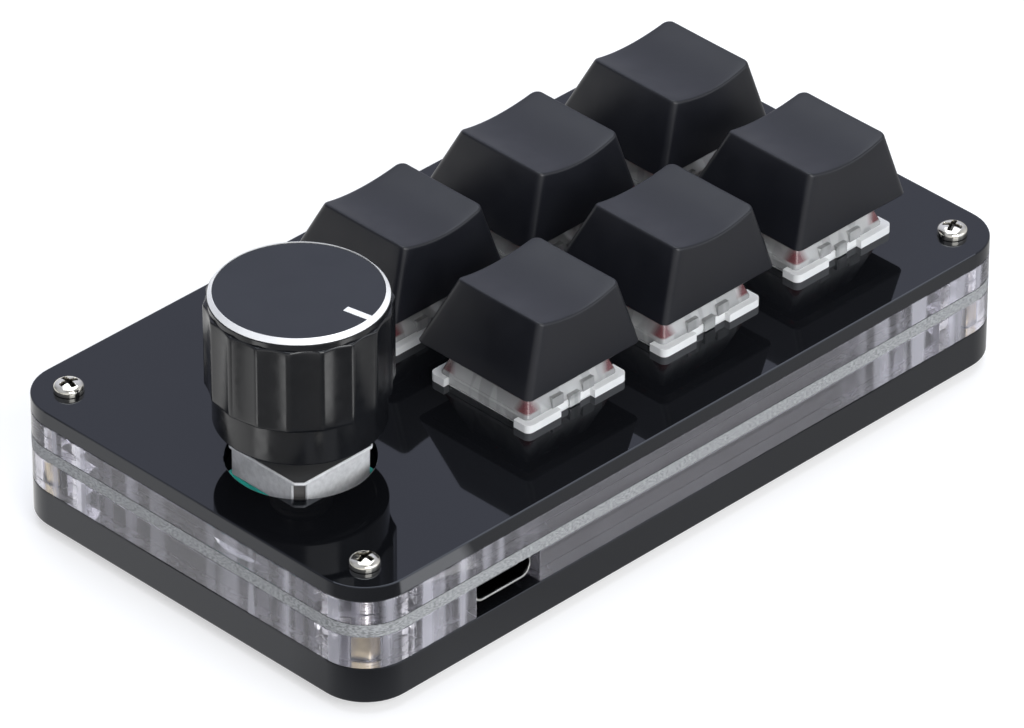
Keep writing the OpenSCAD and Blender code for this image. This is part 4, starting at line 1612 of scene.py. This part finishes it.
@dataclass(frozen=True)
class Card:
    """A white card on the floor beside the knob, which only mirroring surfaces see.

    Attributes:
        side: 1 for the right of the camera's view, -1 for the left.
        angles: Where it begins and ends round the knob, in degrees from the camera's direction.
        span: Where it begins and ends outwards from the knob's axis, in metres.
        edge: Width of its soft edges in degrees.
        strength: Its light.
    """

    side: float
    angles: Flat
    span: Flat = (0.041, 0.08)
    edge: float = 3.0
    strength: float = 2.4

    def light(self, shading: Shading, to_camera: Vector, to_right: Vector) -> Socket:
        """Return its light on the floor.

        Args:
            shading: The floor's tree.
            to_camera: Level direction towards the camera.
            to_right: Level direction to the right of the camera's view.

        Returns:
            The value output.
        """
        axis = Vector(KNOB_AXIS)
        ahead, right = (shading.math("SUBTRACT", shading.along(way), axis.dot(way)) for way in (to_camera, to_right))
        aside = shading.product(right, self.side)
        turn = shading.math("ARCTAN2", aside, ahead)
        first, last, edge = (math.radians(v) for v in (*self.angles, self.edge))
        away = shading.reach(ahead, aside)
        return shading.product(
            shading.spread(turn, 0.0, 1.0, (first, first + edge)),
            shading.spread(turn, 1.0, 0.0, (last - edge, last)),
            shading.math("GREATER_THAN", away, self.span[0]),
            shading.math("LESS_THAN", away, self.span[1]),
            self.strength,
        )


CARDS = (Card(-1.0, (36.0, 56.0)), Card(1.0, (48.0, 68.0)))


@dataclass(frozen=True)
class Softbox:
    """A square softbox that looks at the object.

    Attributes:
        name: Its name.
        place: Its place in metres.
        side: Its side in metres.
        power: Its power in watts.
        colour: Its colour.
    """

    name: str
    place: Point
    side: float
    power: float
    colour: Colour

    def hang(self) -> None:
        """Hang the softbox in the scene."""
        light = bpy.data.lights.new(self.name, "AREA")
        light.shape = "SQUARE"
        light.size = self.side
        light.energy = self.power
        light.color = self.colour
        holder = bpy.data.objects.new(self.name, light)
        turn = Vector(self.place).normalized().to_track_quat("Z", "Y")
        holder.matrix_world = Matrix.Translation(self.place) @ turn.to_matrix().to_4x4()
        holder.visible_camera = False
        bpy.context.scene.collection.objects.link(holder)


SOFTBOXES = (
    Softbox("top softbox", (0.15, 0.1, 0.95), 0.9, 5.5, (0.88, 0.93, 1.0)),
    Softbox("front softbox", (-0.3, -0.9, 0.6), 0.7, 7.5, (1.0, 1.0, 1.0)),
)


@dataclass(frozen=True)
class Studio:
    """Pale floor, soft light and the camera at the photograph's angle.

    Attributes:
        azimuth: The camera's direction round the object in degrees, 0 towards +Y.
        elevation: Its angle above the horizon in degrees.
        roll: Its turn about its own axis in degrees.
        stand: Its place in metres.
        lens: Its focal length in mm on a sensor 36 mm wide.
        floor_side: Side of the floor in metres.
        floor_grain: Size of the floor's faint patches in mm.
        floor_shades: Least and largest share of light that the floor returns.
        floor_lift: Light that the floor adds to what the camera sees of it.
        floor_left: Light of its mirror image on the left of the object.
        floor_right: Light of its mirror image on the right of the object.
        side_span: Distances to the right between which that light changes, in metres.
        floor_far: Share of that light far away.
        far_span: Distances from the object between which that light changes, in metres.
        front_dim: Share of that light that is left in front of the object.
        front_span: Distances towards the camera where that share begins, is reached, is left and ends, in metres.
        ambient: Least light of the sky.
    """

    azimuth: float = -44.841
    elevation: float = 34.022
    roll: float = 0.109
    stand: Point = (-0.63522, -0.63815, 0.61744)
    lens: float = 338.87
    floor_side: float = 8.0
    floor_grain: float = 40.0
    floor_shades: Flat = (0.58, 0.6)
    floor_lift: float = 0.5
    floor_left: float = 1.0
    floor_right: float = 0.55
    side_span: Flat = (-0.03, 0.01)
    floor_far: float = 1.1
    far_span: Flat = (0.09, 0.2)
    front_dim: float = 0.36
    front_span: tuple[float, float, float, float] = (0.048, 0.062, 0.105, 0.125)
    ambient: Colour = (0.22, 0.225, 0.24)

    def build(self) -> None:
        """Set up the whole studio."""
        self.camera()
        self.floor()
        self.world()
        for softbox in SOFTBOXES:
            softbox.hang()

    def camera(self) -> None:
        """Set up the camera."""
        azimuth, elevation, roll = (math.radians(v) for v in (self.azimuth, self.elevation, self.roll))
        level = math.cos(elevation)
        back = Vector((math.sin(azimuth) * level, -math.cos(azimuth) * level, math.sin(elevation)))
        right = Vector((math.cos(azimuth), math.sin(azimuth), 0.0))
        side = right * math.cos(roll) + back.cross(right) * math.sin(roll)
        camera = bpy.data.cameras.new("camera")
        camera.lens = self.lens
        camera.sensor_width = 36.0
        camera.clip_end = 20.0
        holder = bpy.data.objects.new("camera", camera)
        turn = Matrix((side, back.cross(side), back)).transposed().to_4x4()
        holder.matrix_world = Matrix.Translation(self.stand) @ turn
        bpy.context.scene.collection.objects.link(holder)
        bpy.context.scene.camera = holder

    def floor(self) -> None:
        """Lay the floor, white to the camera but with the object's shadow."""
        half = self.floor_side / 2
        mesh = bpy.data.meshes.new("floor")
        mesh.from_pydata([(-half, -half, 0), (half, -half, 0), (half, half, 0), (-half, half, 0)], [], [(0, 1, 2, 3)])
        floor = new_piece("floor", mesh)
        shading = Shading("pale floor")
        grain = shading.spread(shading.noise(self.floor_grain), *self.floor_shades)
        colour = shading.add("ShaderNodeCombineColor", {0: grain, 1: grain, 2: grain}).outputs[0]
        matt = shading.add("ShaderNodeBsdfDiffuse", {"Color": colour}).outputs[0]
        rays = shading.add("ShaderNodeLightPath").outputs
        seen = shading.math("MAXIMUM", rays["Is Camera Ray"], rays["Is Transmission Ray"])
        lifts = (shading.product(seen, self.floor_lift), self.mirrored(shading))
        lifted, image = (shading.add("ShaderNodeEmission", {"Strength": lift}).outputs[0] for lift in lifts)
        real = shading.add("ShaderNodeAddShader", {0: matt, 1: lifted}).outputs[0]
        total = shading.add("ShaderNodeMixShader", {0: rays["Is Glossy Ray"], 1: real, 2: image}).outputs[0]
        shading.add("ShaderNodeOutputMaterial", {"Surface": total})
        mesh.materials.append(shading.material)

    def mirrored(self, shading: Shading) -> Socket:
        """Return how bright the floor is in the object's mirroring surfaces.

        Args:
            shading: The floor's tree.

        Returns:
            The value output: bright on both sides, dark in front, where the camera stands, and changed far away.
        """
        to_camera = Vector((self.stand[0], self.stand[1], 0.0)).normalized()
        to_right = Vector((-to_camera.y, to_camera.x, 0.0))
        away = shading.vector("LENGTH", {0: shading.coords}, 1)
        ahead, aside = (shading.along(way) for way in (to_camera, to_right))
        before = shading.spread(ahead, 1.0, self.front_dim, self.front_span[:2])
        behind = shading.spread(ahead, self.front_dim, 1.0, self.front_span[2:])
        light = shading.product(
            shading.math("MAXIMUM", before, behind),
            shading.spread(away, 1.0, self.floor_far, self.far_span),
            shading.spread(aside, self.floor_left, self.floor_right, self.side_span),
        )
        for card in CARDS:
            light = shading.math("MAXIMUM", light, card.light(shading, to_camera, to_right))
        return light

    def world(self) -> None:
        """Light the object from the sky, which is plain white to the camera."""
        world = bpy.data.worlds.new("studio")
        world.use_nodes = True
        bpy.context.scene.world = world
        tree = Tree(world.node_tree)
        direction = tree.add("ShaderNodeTexCoord").outputs["Generated"]
        light: Point | Socket = self.ambient
        for glow in SKY:
            light = tree.vector("ADD", {0: light, 1: glow.light(tree, direction)})
        rays = tree.add("ShaderNodeLightPath").outputs
        seen = tree.math("MAXIMUM", rays["Is Camera Ray"], rays["Is Transmission Ray"])
        colour = tree.add("ShaderNodeMix", {0: seen, 6: light, 7: rgba((1.0, 1.0, 1.0))}, data_type="RGBA").outputs[2]
        sky = tree.add("ShaderNodeBackground", {"Color": colour, "Strength": 1.0})
        tree.add("ShaderNodeOutputWorld", {"Surface": sky.outputs[0]})


# ---- all of it ----


def main() -> None:
    """Build the studio and every sub-assembly, in order."""
    logging.basicConfig(level=logging.INFO, format="%(name)s: %(message)s")
    bpy.context.scene.view_settings.view_transform = "Standard"
    Studio().build()
    finishes = Finishes()
    LayerStack(finishes).build()
    Fasteners(finishes).build()
    for number in range(1, KEY_COUNT + 1):
        KeySwitch(finishes, number).build()
        KeyCap(finishes, number).build()
    Encoder(finishes).build()
    Knob(finishes).build()
    PortAndBoard(finishes).build()


if __name__ == "__main__":
    main()
